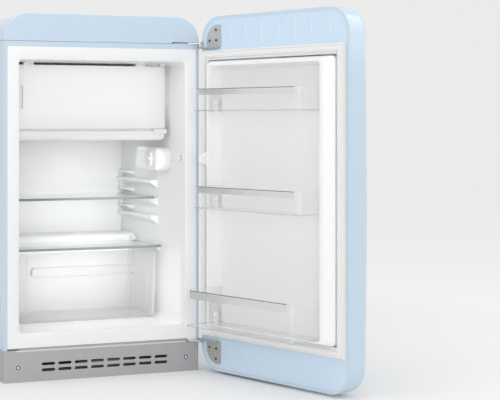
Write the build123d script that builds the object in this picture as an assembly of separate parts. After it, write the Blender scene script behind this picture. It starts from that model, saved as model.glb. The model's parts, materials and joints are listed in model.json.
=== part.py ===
from build123d import *
import math
import os

os.makedirs("parts", exist_ok=True)

# A compact one-door refrigerator with an ice box, its door standing open.
# Millimetres. X runs to the right, Y to the back and Z up. The origin is on the floor, under the middle
# of the cabinet. Depths into the cabinet are counted from its front flange, and the door's pieces are
# drawn on the closed door and then turned about the hinge to the open rest pose.

# Cabinet
cabinet_width = 545.0
cabinet_height = 960.0
cabinet_depth = 550.0
corner_radius = 65.5
sheet = 1.0
return_width = 8.8
body_bottom = 84.0
cap_height = 73.5
cap_wall = 2.5
cap_joint = 0.8
strip_height = 13.8
pan_sheet = 2.0

# Liner
liner_wall = 2.0
liner_setback = 50.0
liner_draft = 5.5
liner_corner = 12.0
opening_margin = 40.0
opening_bottom = 126.0
opening_drop = 47.0
bevel_width = 13.5
bevel_depth = 3.0
flange_bottom = 89.0
bay_depth = 162.0
hump_top = 346.0
hump_round = 14.0
insulation = 30.0

# Shelf guides on the side walls
rail_pitch = 51.0
rail_room = 60.0
rail_start = 200.0
rail_taper = 16.0
rail_reach = 14.0
rail_height = 24.0
rail_lip = 9.0
keeper_height = 12.0
post_reach = 9.6
post_depth = 18.0
post_round = 9.0
shelf_slot = 8.0
ledge_reach = 8.0
ledge_height = 12.0

# Glass shelf, crisper cover and crisper drawer
glass = 4.0
shelf_front = 180.0
shelf_behind = 20.0
shelf_corner = 4.0
trim_depth = 8.0
trim_wall = 1.2
trim_notch = 14.0
cover_front = 166.0
cover_top = 327.0
end_cap = 9.0
end_cap_wall = 2.4
keeper_inset = 7.2
keeper_half = 7.0
keeper_length = 16.0
keeper_rise = 11.0
drawer_front = 172.0
drawer_top = 316.0
drawer_gap_top = 13.5
drawer_gap_bottom = 20.5
drawer_wall = 2.5
drawer_corner = 14.0
drawer_ribs = (33.0, 57.0)
drawer_rib_end = 12.0
pull_margin = 71.0
pull_corner = 8.0
pull_top = 275.0
pull_height = 24.0
pull_depth = 9.0

# Ice box
icebox_gap = 30.5
icebox_drop = 11.5
icebox_behind = 19.5
icebox_height = 175.0
icebox_wall = 2.0
icebox_corner = 10.0
hanger_inset = 40.0
tray_gap = 18.5
tray_height = 27.0
tray_wall = 2.5
tray_round = 12.0
clip_inset = 50.0
clip_half = 12.0
clip_height = 12.0
flap_gap = 15.5
flap_height = 174.0
flap_front = 112.0
flap_thick = 12.0
flap_skin = 3.0
flap_frame = 9.0
flap_corner = 6.0
flap_rim_wall = 3.0
flap_rim_inset = 14.0
flap_pull_low = 55.0
flap_pull_height = 65.0
flap_pull_inset = 14.0
flap_pull_width = 12.0
flap_pull_depth = 7.0
flap_pivot_inset = 7.0
flap_pin_radius = 2.4
flap_pin_length = 16.0
apron_thick = 3.0
apron_height = 12.5

# Thermostat, lamp and door switch on the right wall
housing_reach = 42.5
housing_drop = 113.0
housing_front = 130.0
housing_rear = 272.0
housing_height = 66.0
housing_corner = 10.0
housing_wall = 2.0
lamp_front = 99.0
knob_depth_at = 159.0
knob_radius = 22.5
knob_height = 11.0
knob_shaft_radius = 3.0
knob_flute = 1.3
knob_flutes = 18
bulb_radius = 8.0
switch_depth_at = 26.0
switch_rise = 38.0
plunger_radius = 2.5
plunger_reach = 12.5
plunger_travel = 6.8

# Base
plinth_height = 88.0
plinth_sheet = 1.5
plinth_setback = 2.0
plinth_behind = 250.0
plinth_bend = 4.0
slot_length = 36.0
slot_height = 7.5
slot_pitch = 45.0
slot_count = 8
slot_centre = 4.5
slot_low = 29.0
slot_rise = 15.5
plinth_screw_inset = 37.5
plinth_screw_z = 38.5
foot_height = 12.0
foot_radius = 19.0
foot_inset = 42.0
stem_radius = 5.0
rail_floor = 30.0
cap_foot = 12.0
cap_foot_front = 120.0
cap_foot_rear = 60.0
rear_return = 12.0

# Compressor, its pan and the condenser
can_long = 84.0
can_deep = 50.0
can_height = 120.0
can_lift = 22.0
can_top_round = 26.0
can_foot_round = 18.0
seam_rim = 4.0
seam_height = 6.0
seam_at = 78.0
mount_long = 104.0
mount_deep = 40.0
mount_lift = 14.0
mount_sheet = 3.0
grommet_radius = 8.0
grommet_places = (92.0, 28.0)
bolt_radius = 3.0
relay_width = 48.0
relay_height = 48.0
relay_low = 52.0
relay_depth = 32.0
pan_half = 90.0
pan_deep = 46.0
pan_height = 34.0
pan_wall = 2.0
pan_round = 12.0
coil_radius = 2.4
coil_rows = 11
coil_margin = 60.0
coil_foot = 20.0
coil_clear = 7.0
coil_wire = 1.6
coil_wires = 15
suction_radius = 4.0
discharge_radius = 2.5
tube_bend = 14.0
tube_side = 69.0
drain_radius = 7.0
drain_back = 40.0

# Hinges
hinge_ahead = 7.3
door_rest = 108.0
pin_radius = 3.5
bush_wall = 1.5
running = 0.05
rivet_fit = 0.02
arm_thick = 4.0
knuckle_radius = 6.5
leaf_thick = 2.5
bracket_near = 22.0
bracket_far = 78.0
bracket_height = 62.0
bracket_round = 5.0
screw_radius = 2.2

# Door
seal_gap = 14.4
door_bottom = 7.0
door_edge = 76.0
door_round = 26.0
crown_across = 7.0
crown_up = 7.0
door_skin_wall = 1.2
panel_wall = 2.0
fit = 0.2
gasket_inset = 9.2
gasket_low = 100.4
gasket_drop = 18.0
gasket_width = 24.5
gasket_clear = 0.3
dyke_foot = 37.0
dyke_outer = 58.0
dyke_inner = 68.0
dyke_floor = 80.0
dyke_rise = 20.0
recess_depth = 25.0
dyke_low = 1.5
dyke_high = 1.0
ridge_low = 6.0
ridge_high = 7.5
ridge_width_low = 3.0
ridge_width_high = 5.5
recess_slope_low = 2.5
recess_slope_high = 9.0
recess_corner = 8.0
rib_first = 115.0
rib_pitch = 60.4
rib_margin = 66.0
rib_radius = 2.6
rib_rise = 1.8
rib_length = 56.0

# Door balconies
bin_wall = 2.5
bin_inset = 73.0
bin_reach = 83.5
bottle_reach = 109.0
bin_height = 59.0
bottle_height = 96.0
upper_bin_drop = 135.5
bin_pitch = 256.0
bottle_bin_rise = 14.0
bin_clear = 1.6
bin_nose = 9.0
bin_foot = 4.0
lug_drop = 30.0
lug_height = 12.0
lug_width = 16.0
rail_inset = 93.2
strip_wall = 1.2
strip_drop = 16.0
bottle_strip_drop = 21.0
strip_lip = 5.0
strip_fit = 0.1

# Handle
handle_inset = 76.0
handle_drop = 420.0
handle_length = 230.0
handle_bow = 8.0
post_inset = 24.0
handle_stand = 42.0
handle_radius = 9.0
handle_foot = 13.0

# Values worked out from the ones above
front = -cabinet_depth / 2
rear = cabinet_depth / 2
side = cabinet_width / 2
body_top = cabinet_height - cap_height
opening_half = side - opening_margin
opening_top = body_top - opening_drop
flange_half = side - return_width
flange_top = body_top - strip_height
liner_depth = cabinet_depth - liner_setback
hump_front = cabinet_depth - bay_depth
shelf_length = liner_depth - shelf_front - shelf_behind
icebox_half = opening_half - icebox_gap
icebox_top = opening_top - icebox_drop
icebox_bottom = icebox_top - icebox_height
icebox_front = flap_front + flap_thick + 6.5
icebox_depth = liner_depth - icebox_front - icebox_behind
tray_half = opening_half - tray_gap
tray_top = icebox_bottom - 1
tray_front = flap_front - 2
flap_half = opening_half - flap_gap
flap_bottom = tray_top + 4
housing_face = opening_half - housing_reach
housing_bottom = tray_top - housing_drop
switch_height_at = housing_bottom + switch_rise
rail_top = housing_bottom - 28
rail_count = int((rail_top - cover_top - rail_room) // rail_pitch) + 1
shelf_rail = min(1, rail_count - 1)
drawer_half_top = opening_half - drawer_gap_top
drawer_half_bottom = opening_half - drawer_gap_bottom
pull_half = drawer_half_top - pull_margin
plinth_return = cabinet_depth - plinth_behind
plinth_screw_x = side - plinth_screw_inset
gasket_high = body_top - gasket_drop
rib_count = int((cabinet_width - rib_first - rib_margin) // rib_pitch) + 1
upper_bin = opening_top - upper_bin_drop
bin_levels = (upper_bin, upper_bin - bin_pitch, opening_bottom + bottle_bin_rise)
handle_low = cabinet_height - handle_drop
inner_face = front - seal_gap
door_top = cabinet_height
foam_rear = front + liner_depth + liner_wall + insulation
bay_front = front + hump_front + liner_wall + insulation
bay_top = hump_top - liner_wall - insulation
bay_middle = (bay_front + rear) / 2
coil_y = foam_rear + sheet + coil_clear
pan_top = rail_floor + can_lift + can_height + pan_height
hinge = Axis((side, front - hinge_ahead, 0), (0, 0, 1))
gap = 0.3


# ---- shared shapes ------------------------------------------------------------------------------

def block(x0, x1, y0, y1, z0, z1):
    """A box between two opposite corners."""
    middle = Pos((x0 + x1) / 2, (y0 + y1) / 2, (z0 + z1) / 2)
    return middle * Box(abs(x1 - x0), abs(y1 - y0), abs(z1 - z0))


def outline(half, z0, z1, radius, y):
    """A rounded rectangle, centred on X, standing in the plane at depth y."""
    plane = Plane(origin=(0, y, (z0 + z1) / 2), x_dir=(1, 0, 0), z_dir=(0, -1, 0))
    return plane * RectangleRounded(2 * half, z1 - z0, radius)


def prism(half, z0, z1, radius, y0, y1):
    """A standing rounded rectangle, extruded between two depths."""
    return extrude(outline(half, z0, z1, radius, y1), amount=y1 - y0)


def door_block(u0, u1, w0, w1, z0, z1):
    """A box on the closed door: u from the hinge edge, w forwards from the cabinet's flange."""
    return block(side - u1, side - u0, front - w1, front - w0, z0, z1)


def rod(radius, start, end):
    """A round bar between two points."""
    run = Vector(*end) - Vector(*start)
    return extrude(Plane(origin=start, z_dir=run) * Circle(radius), amount=run.length)


def tube(radius, points, bend):
    """A round tube along straight runs joined by bends."""
    path = FilletPolyline(*points, radius=bend)
    start = Plane(origin=points[0], z_dir=path % 0)
    return sweep(start * Circle(radius), path=path)


def flat_plate(points, z0, z1):
    """A plate lying between two heights, from the corners of its plan."""
    face = make_face(Polyline(*points, close=True))
    return extrude(Plane.XY.offset(z0) * face, amount=z1 - z0)


def opened(shape):
    """A door piece, turned from the closed door to the open rest pose."""
    return shape.rotate(hinge, door_rest)


def wall_x(depth):
    """Where the drafted side wall of the liner stands at a depth behind the flange."""
    share = (depth - bevel_depth) / (liner_depth - bevel_depth)
    return opening_half - liner_draft * share


# ---- cabinet ------------------------------------------------------------------------------------

def cavity(grow):
    """The space inside the liner as a solid, with every wall moved outwards by grow."""
    mouth = outline(opening_half + grow, opening_bottom - grow, opening_top + grow,
                    liner_corner + grow, front + bevel_depth)
    end = outline(opening_half - liner_draft + grow, opening_bottom - grow,
                  opening_top - liner_draft + grow, liner_corner + grow, front + liner_depth + grow)
    step_front = front + hump_front + grow
    step = block(-side, side, step_front, rear, 0, hump_top - grow)
    nose = step.edges().filter_by(Axis.X).group_by(Axis.Z)[-1].sort_by(Axis.Y)[0]
    return loft([mouth, end]) - fillet(nose, hump_round - grow)


def guide(top, start, reach, height, lip):
    """A shelf guide on the right wall: flat on top, sloping underneath, with a tapered front end."""
    inner = wall_x(liner_depth) - reach
    section = Plane(origin=(0, rear, 0), x_dir=(1, 0, 0), z_dir=(0, -1, 0)) * make_face(Polyline(
        (side, top), (inner, top), (inner, top - lip), (wall_x(start), top - height),
        (side, top - height), close=True))
    bar = extrude(section, amount=rear - front - start)
    corner = [(inner - 1, front + start - 1), (inner - 1, front + start + rail_taper),
              (wall_x(start) + 1, front + start - 1)]
    return bar - flat_plate(corner, top - height - 1, top + 1)


def corner_post():
    """The raised pad in the rear corner that the shelf guides run into, round at its lower end."""
    rear_wall = front + liner_depth + liner_wall
    low = rail_top - (rail_count - 1) * rail_pitch - rail_height + rail_lip
    post = block(wall_x(liner_depth) - post_reach, side, rear_wall - post_depth - liner_wall, rear_wall,
                 low, rail_top + rail_height)
    ends = post.edges().filter_by(Axis.Y).group_by(Axis.X)[0]
    return fillet(ends, post_round)


def liner():
    """The moulded inner wall: flange, bevelled mouth, drafted tub, step and shelf guides."""
    flange = prism(flange_half, flange_bottom, flange_top, cap_wall, front, front + liner_wall)
    collar = prism(opening_half + bevel_width + liner_wall, opening_bottom - bevel_width - liner_wall,
                   opening_top + bevel_width + liner_wall, liner_corner + bevel_width,
                   front, front + bevel_depth + liner_wall)
    tub = cavity(liner_wall)
    bevel = loft([outline(opening_half + bevel_width, opening_bottom - bevel_width,
                          opening_top + bevel_width, liner_corner + bevel_width / 2, front),
                  outline(opening_half, opening_bottom, opening_top, liner_corner,
                          front + bevel_depth)])
    shell = flange + collar + tub - bevel - cavity(0)
    guides = [guide(rail_top - n * rail_pitch, rail_start, rail_reach, rail_height, rail_lip)
              for n in range(rail_count)]
    guides += [guide(rail_top - n * rail_pitch + shelf_slot + keeper_height, hump_front,
                     rail_reach, keeper_height, keeper_height / 2) for n in range(rail_count)]
    guides.append(guide(cover_top - glass - gap, cover_front + rail_taper, ledge_reach, ledge_height,
                        ledge_height / 2))
    guides.append(corner_post())
    for bar in guides:
        bar = bar & tub
        shell = shell + bar + mirror(bar, Plane.YZ)
    return shell


def wrapper():
    """The painted outer sheet: two sides and a top, with returns round the front and the rear."""
    hollow = block(-side + sheet, side - sheet, front + sheet, rear, body_bottom, body_top - sheet)
    window = block(-flange_half - fit, flange_half + fit, front - 1, front + sheet,
                   body_bottom, flange_top + fit)
    shell = block(-side, side, front, rear, body_bottom, body_top) - hollow - window
    for sign in (-1, 1):
        shell += block(sign * (side - rear_return), sign * side, rear - sheet, rear, body_bottom, body_top)
    return shell


def cap():
    """The domed top cover, hollow underneath, with a slot for the upper hinge arm."""
    low = body_top + cap_joint
    outer = extrude(Plane(origin=(0, rear, 0), x_dir=(1, 0, 0), z_dir=(0, -1, 0)) * dome(0, low),
                    amount=cabinet_depth)
    inner = extrude(Plane(origin=(0, rear - cap_wall, 0), x_dir=(1, 0, 0), z_dir=(0, -1, 0))
                    * dome(cap_wall, low), amount=cabinet_depth - 2 * cap_wall)
    slot = block(side - bracket_far, side - return_width, front - 1, front + cap_wall + 1,
                 low - 1, body_top + arm_thick + 1)
    shell = outer - inner - slot
    edges = shell.edges().filter_by(lambda e: e.center().Y < front + 0.01 and e.center().Z > low + 1)
    shell = fillet(edges.sort_by(Axis.Z)[-3:], cap_wall * 0.9)
    feet = [block(x - cap_foot, x + cap_foot, y - cap_foot, y + cap_foot, body_top,
                  cabinet_height - cap_wall)
            for x in (-side / 2, side / 2) for y in (front + cap_foot_front, rear - cap_foot_rear)]
    return shell + feet


def dome(inset, low):
    """The front elevation of the cap: a rectangle with two rounded upper corners."""
    half = side - inset
    top = cabinet_height - inset
    radius = corner_radius - inset
    turn = radius * (1 - math.sqrt(0.5))
    line = Polyline((-half, top - radius), (-half, low), (half, low), (half, top - radius))
    right = ThreePointArc((half, top - radius), (half - turn, top - turn), (half - radius, top))
    left = ThreePointArc((-half + radius, top), (-half + turn, top - turn), (-half, top - radius))
    return make_face([line, right, Line((half - radius, top), (-half + radius, top)), left])


def foam():
    """The insulation between the wrapper and the liner, with the compressor bay left open."""
    full = block(-side + sheet, side - sheet, front + bevel_depth + liner_wall + gap, foam_rear,
                 body_bottom + pan_sheet, body_top - sheet)
    bay = block(-side, side, bay_front, rear, 0, bay_top)
    return full - bay - cavity(liner_wall + gap)


def bay_panel():
    """The folded sheet that closes the insulation over the compressor bay."""
    half = side - sheet - fit
    riser = block(-half, half, bay_front, bay_front + sheet, body_bottom, bay_top)
    roof = block(-half, half, bay_front, foam_rear, bay_top - sheet, bay_top)
    return riser + roof


def back_panel():
    """The flat rear sheet over the insulation."""
    half = side - sheet - fit
    return block(-half, half, foam_rear, foam_rear + sheet, bay_top - sheet, body_top - sheet - fit)



# ---- base ---------------------------------------------------------------------------------------

def plinth():
    """The folded kick plate: a slotted front and two side returns that stand on the floor."""
    face_y = front + plinth_setback
    outer = block(-side, side, face_y, face_y + plinth_return, 0, body_bottom)
    corners = outer.edges().filter_by(Axis.Z).sort_by(Axis.Y)[:2]
    outer = fillet(corners, plinth_bend)
    inner = block(-side + plinth_sheet, side - plinth_sheet, face_y + plinth_sheet,
                  face_y + plinth_return + 1, -1, body_bottom + 1)
    corners = inner.edges().filter_by(Axis.Z).sort_by(Axis.Y)[:2]
    inner = fillet(corners, plinth_bend - plinth_sheet)
    lip = block(-opening_half, opening_half, face_y, front + plinth_setback + plinth_sheet,
                body_bottom, plinth_height)
    slots = []
    for row in range(2):
        for n in range(slot_count):
            x = slot_centre + (n - (slot_count - 1) / 2) * slot_pitch
            z = slot_low + row * slot_rise
            plane = Plane(origin=(x, face_y + 2 * plinth_sheet, z), x_dir=(1, 0, 0), z_dir=(0, -1, 0))
            slots.append(extrude(plane * SlotOverall(slot_length, slot_height), amount=4 * plinth_sheet))
    for x in (-plinth_screw_x, plinth_screw_x):
        slots.append(rod(screw_radius + fit, (x, face_y - 1, plinth_screw_z),
                         (x, face_y + plinth_sheet + 1, plinth_screw_z)))
    notch = block(opening_half + 4, flange_half + 2, face_y - 1, face_y + plinth_sheet + 1,
                  body_bottom - arm_thick - 1, body_bottom + 1)
    return outer - inner + lip - slots - notch


def screw(head_radius, head_height, shank_radius, length, point, direction):
    """A dome-headed screw: its head sits outside point and its shank runs along direction."""
    plane = Plane(origin=point, z_dir=direction)
    shank = extrude(plane * Circle(shank_radius), amount=length)
    head = extrude(plane * Circle(head_radius), amount=-head_height)
    rim = head.edges().sort_by(Axis(point, direction))[0]
    return shank + fillet(rim, head_height * 0.6)


def plinth_screws():
    """Two screws that hold the kick plate to the base frame."""
    face_y = front + plinth_setback
    return Compound([screw(4.5, 2.2, screw_radius, 9, (x, face_y, plinth_screw_z), (0, 1, 0))
                     for x in (-plinth_screw_x, plinth_screw_x)])


def base_frame():
    """The steel base: a pan under the insulation, side rails, cross rails and plinth tabs."""
    half = side - plinth_sheet - gap
    tab_y = front + plinth_setback + plinth_sheet
    pan = block(-side + sheet + fit, side - sheet - fit, front + 8, bay_front - gap,
                body_bottom, body_bottom + pan_sheet)
    parts = [pan]
    for sign in (-1, 1):
        parts.append(block(sign * half, sign * (half - pan_sheet), tab_y + plinth_bend,
                           rear - 2, rail_floor, body_bottom))
        parts.append(block(sign * (plinth_screw_x - 11), sign * (half - plinth_bend), tab_y,
                           tab_y + pan_sheet, rail_floor, body_bottom - arm_thick - 1.5))
    front_rail = [(-half, front + 2 * foot_inset), (-half, tab_y + plinth_bend),
                  (-half + plinth_bend, tab_y), (half - plinth_bend, tab_y),
                  (half, tab_y + plinth_bend), (half, front + 2 * foot_inset)]
    parts.append(flat_plate(front_rail, rail_floor - pan_sheet, rail_floor))
    parts.append(block(-half, half, bay_front + 8, rear - 2, rail_floor - pan_sheet, rail_floor))
    frame = parts[0]
    for part in parts[1:]:
        frame = frame + part
    for x, y in foot_places():
        frame -= rod(stem_radius + fit, (x, y, 0), (x, y, rail_floor + 1))
    for sign in (-1, 1):
        frame -= rod(screw_radius + fit, (sign * plinth_screw_x, front, plinth_screw_z),
                     (sign * plinth_screw_x, tab_y + pan_sheet + 1, plinth_screw_z))
    return frame


def foot_places():
    """Where the four levelling feet stand."""
    return [(x, y) for x in (-side + foot_inset, side - foot_inset)
            for y in (front + foot_inset, rear - foot_inset)]


def feet():
    """Four levelling feet: a round pad with a soft edge, a lock nut and a threaded stem."""
    group = []
    for x, y in foot_places():
        pad = rod(foot_radius, (x, y, 0), (x, y, foot_height))
        pad = fillet(pad.edges().sort_by(Axis.Z)[-1], foot_height / 3)
        stem = rod(stem_radius, (x, y, foot_height), (x, y, rail_floor + 16))
        nut = extrude(Plane((x, y, rail_floor)) * RegularPolygon(stem_radius + 4, 6), amount=7)
        group.append(pad + stem + nut)
    return Compound(group)


def compressor():
    """The sealed compressor: two drawn shells welded at a flanged seam, on a plate with four grommets."""
    seat = rail_floor
    low = seat + can_lift
    can = Pos(0, bay_middle, low) * extrude(Ellipse(can_long, can_deep), amount=can_height)
    can = fillet(can.edges().sort_by(Axis.Z)[0], can_foot_round)
    can = fillet(can.edges().sort_by(Axis.Z)[-1], can_top_round)
    body = can + Pos(0, bay_middle, seat + seam_at) * extrude(
        Ellipse(can_long + seam_rim, can_deep + seam_rim), amount=seam_height)
    plate = block(-mount_long, mount_long, bay_middle - mount_deep, bay_middle + mount_deep,
                  seat + mount_lift, seat + mount_lift + mount_sheet)
    plate = fillet(plate.edges().filter_by(Axis.Z), grommet_radius)
    body = body + plate
    for sign in (-1, 1):
        body += block(sign * can_deep / 2, sign * can_deep, bay_middle - can_foot_round,
                      bay_middle + can_foot_round, seat + mount_lift, low + can_foot_round)
    for x, y in grommets():
        body += rod(grommet_radius, (x, y, seat), (x, y, seat + mount_lift + mount_sheet + 4))
        body += rod(bolt_radius, (x, y, seat), (x, y, seat + mount_lift + mount_sheet + 10))
    return body


def grommets():
    """Where the compressor's four rubber grommets stand."""
    across, along = grommet_places
    return [(sign * across, bay_middle + turn * along) for sign in (-1, 1) for turn in (-1, 1)]


def relay_box():
    """The starting relay's cover on the compressor's end."""
    low, high = rail_floor + relay_low, rail_floor + relay_low + relay_height
    box = block(can_long - 14, can_long + relay_depth, bay_middle - relay_width / 2,
                bay_middle + relay_width / 2, low, high)
    box = fillet(box.edges().filter_by(Axis.Y).sort_by(Axis.X)[-2:], 5)
    return box - compressor()


def drip_pan():
    """The evaporation pan that sits on the compressor and catches melt water."""
    low = pan_top - pan_height + gap
    outer = block(-pan_half, pan_half, bay_middle - pan_deep, bay_middle + pan_deep, low, pan_top + gap)
    outer = fillet(outer.edges().filter_by(Axis.Z), pan_round)
    half, deep = pan_half - pan_wall, pan_deep - pan_wall
    inner = block(-half, half, bay_middle - deep, bay_middle + deep, low + pan_wall, pan_top + 1)
    return outer - fillet(inner.edges().filter_by(Axis.Z), pan_round - pan_wall)


coil_half = side - coil_margin
coil_low, coil_high = bay_top + coil_foot, body_top - coil_margin
coil_pitch = (coil_high - coil_low) / (coil_rows - 1)
coil_run = coil_half - coil_pitch / 2


def condenser():
    """The rear condenser: a serpentine tube with upright wires, on four stays off the back sheet."""
    line = []
    for n in range(coil_rows):
        z = coil_low + n * coil_pitch
        sign = 1 if n % 2 == 0 else -1
        line.append(Line((-sign * coil_run, coil_y, z), (sign * coil_run, coil_y, z)))
        if n < coil_rows - 1:
            line.append(ThreePointArc((sign * coil_run, coil_y, z),
                                      (sign * coil_half, coil_y, z + coil_pitch / 2),
                                      (sign * coil_run, coil_y, z + coil_pitch)))
    start = Plane(origin=(-coil_run, coil_y, coil_low), z_dir=(1, 0, 0))
    body = sweep(start * RegularPolygon(coil_radius, 8), path=Wire(line))
    wire_y = coil_y + coil_radius * 0.85
    reach = coil_run - coil_wire * 5
    for n in range(coil_wires):
        x = reach * (2 * n / (coil_wires - 1) - 1)
        body += block(x - coil_wire / 2, x + coil_wire / 2, wire_y, wire_y + coil_wire,
                      coil_low - 12, coil_high + 12)
    for x in (-coil_half * 0.7, coil_half * 0.7):
        for z in (coil_low, coil_high):
            body += block(x - 6, x + 6, foam_rear + sheet, coil_y - coil_radius * 0.8, z - 4, z + 4)
    return body


def refrigerant_tubes():
    """The copper tubes: discharge to the condenser's foot, suction up into the insulation, and a stub."""
    height = rail_floor + seam_at + 22
    corner = -coil_run - 1.1 * tube_bend
    discharge = tube(discharge_radius, [
        (-can_long * 0.7, bay_middle, height), (-can_long * 0.7, coil_y, height),
        (corner, coil_y, height), (corner, coil_y, coil_low), (-coil_run, coil_y, coil_low)], tube_bend)
    rise = -side + tube_side + 10
    suction = tube(suction_radius, [(0, bay_middle, height), (rise, bay_middle, height),
                                    (rise, bay_middle, bay_top - sheet)], tube_bend)
    stub = tube(discharge_radius, [(can_long / 2, bay_middle, height - 8),
                                   (can_long / 2, coil_y, height - 8),
                                   (can_long / 2 + 40, coil_y, height - 8)], tube_bend / 2)
    return Compound([solid for piece in (discharge, suction, stub)
                     for solid in (piece - compressor()).solids()])


def drain_place(grow):
    """The drain's round form through the step's top, with its walls moved out by grow."""
    y = front + hump_front + drain_back
    radius = drain_radius + grow
    throat = rod(radius, (0, y, bay_top - sheet - 1), (0, y, hump_top - 1.5))
    mouth = Pos(0, y, hump_top - 1.5) * Cone(radius, radius + 4, 3)
    return throat + mouth


def drain_spout():
    """The melt water's drain: a flared mouth in the step and a tube down through the insulation."""
    y = front + hump_front + drain_back
    below = block(-side, side, front, rear, 0, hump_top)
    bore = rod(drain_radius - trim_wall, (0, y, bay_top - 10), (0, y, hump_top))
    return (drain_place(0) & below) - bore - drain_place(-trim_wall)


# ---- inside the liner ---------------------------------------------------------------------------

def icebox():
    """The aluminium evaporator: a box open at the front, under hangers on the liner's ceiling."""
    end = front + icebox_front + icebox_depth
    outer = prism(icebox_half, icebox_bottom, icebox_top, icebox_corner, front + icebox_front, end)
    inner = prism(icebox_half - icebox_wall, icebox_bottom + icebox_wall, icebox_top - icebox_wall,
                  icebox_corner - icebox_wall, front + icebox_front - 1, end - icebox_wall)
    return outer - inner


def hangers():
    """Four blocks that hang the ice box from the liner's ceiling."""
    blocks = []
    for y in (front + icebox_front + hanger_inset, front + liner_depth - 2 * hanger_inset):
        for x in (-icebox_half + hanger_inset, icebox_half - hanger_inset):
            piece = block(x - 14, x + 14, y - 10, y + 10, icebox_top, opening_top + 5)
            blocks.append(piece & cavity(-fit))
    return Compound([solid for piece in blocks for solid in piece.solids()])


def melt_tray():
    """The white tray under the ice box, with a rounded front that forms the lower lip."""
    end = front + icebox_front + icebox_depth
    outer = block(-tray_half, tray_half, front + tray_front, end, tray_top - tray_height, tray_top)
    low = outer.faces().sort_by(Axis.Z)[0].edges()
    outer = fillet(low, tray_round)
    inner = block(-tray_half + tray_wall, tray_half - tray_wall, front + tray_front + tray_wall,
                  end - tray_wall, tray_top - tray_height + tray_wall, tray_top + 1)
    low = inner.faces().sort_by(Axis.Z)[0].edges()
    inner = fillet(low, tray_round - tray_wall)
    return outer - inner


def tray_clips():
    """Wall clips that carry the melt tray's side edges on the liner."""
    clips = []
    for y in (front + icebox_front + clip_inset, front + icebox_front + icebox_depth - clip_inset):
        piece = block(tray_half + gap, side, y - clip_half, y + clip_half,
                      tray_top - 4 - clip_height, tray_top - 4)
        piece = piece & cavity(-fit)
        clips += [piece, mirror(piece, Plane.YZ)]
    return Compound([solid for piece in clips for solid in piece.solids()])


flap_axis_x = flap_half - flap_pivot_inset
flap_axis_y = front + flap_front + flap_thick / 2


def flap():
    """The ice box door: a crowned panel with an inner rim, a finger pull and two pivot holes."""
    top = flap_bottom + flap_height
    face_y = front + flap_front
    back = face_y + flap_thick
    panel = prism(flap_half, flap_bottom, top, flap_corner, face_y, back)
    panel = fillet(panel.faces().sort_by(Axis.Y)[0].edges(), flap_skin)

    def inner(inset, half, y0, y1):
        return prism(half, flap_bottom + inset, top - inset, flap_corner, y0, y1)

    half = flap_half - flap_frame
    body = panel - inner(flap_frame, half, face_y + flap_skin, back + 1)
    body = body + inner(flap_frame, half, back - flap_skin, back)
    for z0 in (flap_bottom + 2, top - 2 - flap_pin_length - 2):
        body += block(flap_axis_x - 5, flap_axis_x + 3, flap_axis_y - 3, back - 0.1,
                      z0, z0 + flap_pin_length + 2)
    rim_half = icebox_half - flap_frame
    rim = inner(flap_rim_inset, rim_half, back - 6, back + 4)
    body += rim - inner(flap_rim_inset + flap_rim_wall, rim_half - flap_rim_wall, back - 7, back + 5)
    x0, z0 = -flap_half + flap_pull_inset, flap_bottom + flap_pull_low
    x1, z1 = x0 + flap_pull_width, z0 + flap_pull_height
    pull = block(x0, x1, face_y - 1, face_y + flap_pull_depth, z0, z1)
    pull = fillet(pull.edges().filter_by(Axis.Y), flap_pull_width * 0.4)
    well = block(x0 - flap_skin, x1 + flap_skin, face_y + flap_skin - 0.5,
                 face_y + flap_pull_depth + 2, z0 - flap_skin, z1 + flap_skin)
    body = body + well - pull
    for z0, z1 in ((flap_bottom - 1, flap_bottom + flap_pin_length), (top - flap_pin_length, top + 1)):
        body -= rod(flap_pin_radius + running, (flap_axis_x, flap_axis_y, z0),
                    (flap_axis_x, flap_axis_y, z1))
    return body


def flap_pivots():
    """The lower bracket and the upper peg that the ice box door turns on."""
    top = flap_bottom + flap_height
    x0, x1 = flap_axis_x - 28, flap_axis_x + 10
    lower = block(x0, x1, front + tray_front - apron_thick, front + icebox_front - gap,
                  tray_top + gap, flap_bottom - gap)
    apron = block(x0, x1, front + tray_front - gap - apron_thick, front + tray_front - gap,
                  flap_bottom - gap - apron_height, flap_bottom - gap)
    lower = lower + fillet(apron.edges().filter_by(Axis.Y).group_by(Axis.Z)[0], apron_thick)
    lower = lower + rod(flap_pin_radius, (flap_axis_x, flap_axis_y, flap_bottom - 2),
                        (flap_axis_x, flap_axis_y, flap_bottom + flap_pin_length - 4))
    peg = rod(flap_pin_radius, (flap_axis_x, flap_axis_y, top - flap_pin_length + 4),
              (flap_axis_x, flap_axis_y, opening_top - 2))
    seat = block(flap_axis_x - 7, flap_axis_x + 7, flap_axis_y - 6, flap_axis_y + 10,
                 top + gap, opening_top + 5)
    upper = (seat + peg) & cavity(-fit)
    return Compound([lower, *upper.solids()])


knob_x = housing_face
knob_y = front + knob_depth_at
knob_z = housing_bottom + 35.3


def housing_shape(inset, y0, y1):
    """The thermostat housing's outer form between two depths, its walls moved in by inset."""
    section = Plane(origin=(0, y1, 0), x_dir=(1, 0, 0), z_dir=(0, -1, 0))
    top = housing_bottom + housing_height
    face = section * Pos((housing_face + side) / 2, (housing_bottom + top) / 2) * RectangleRounded(
        side - housing_face - 2 * inset, housing_height - 2 * inset, housing_corner - inset)
    return extrude(face, amount=y1 - y0)


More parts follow.
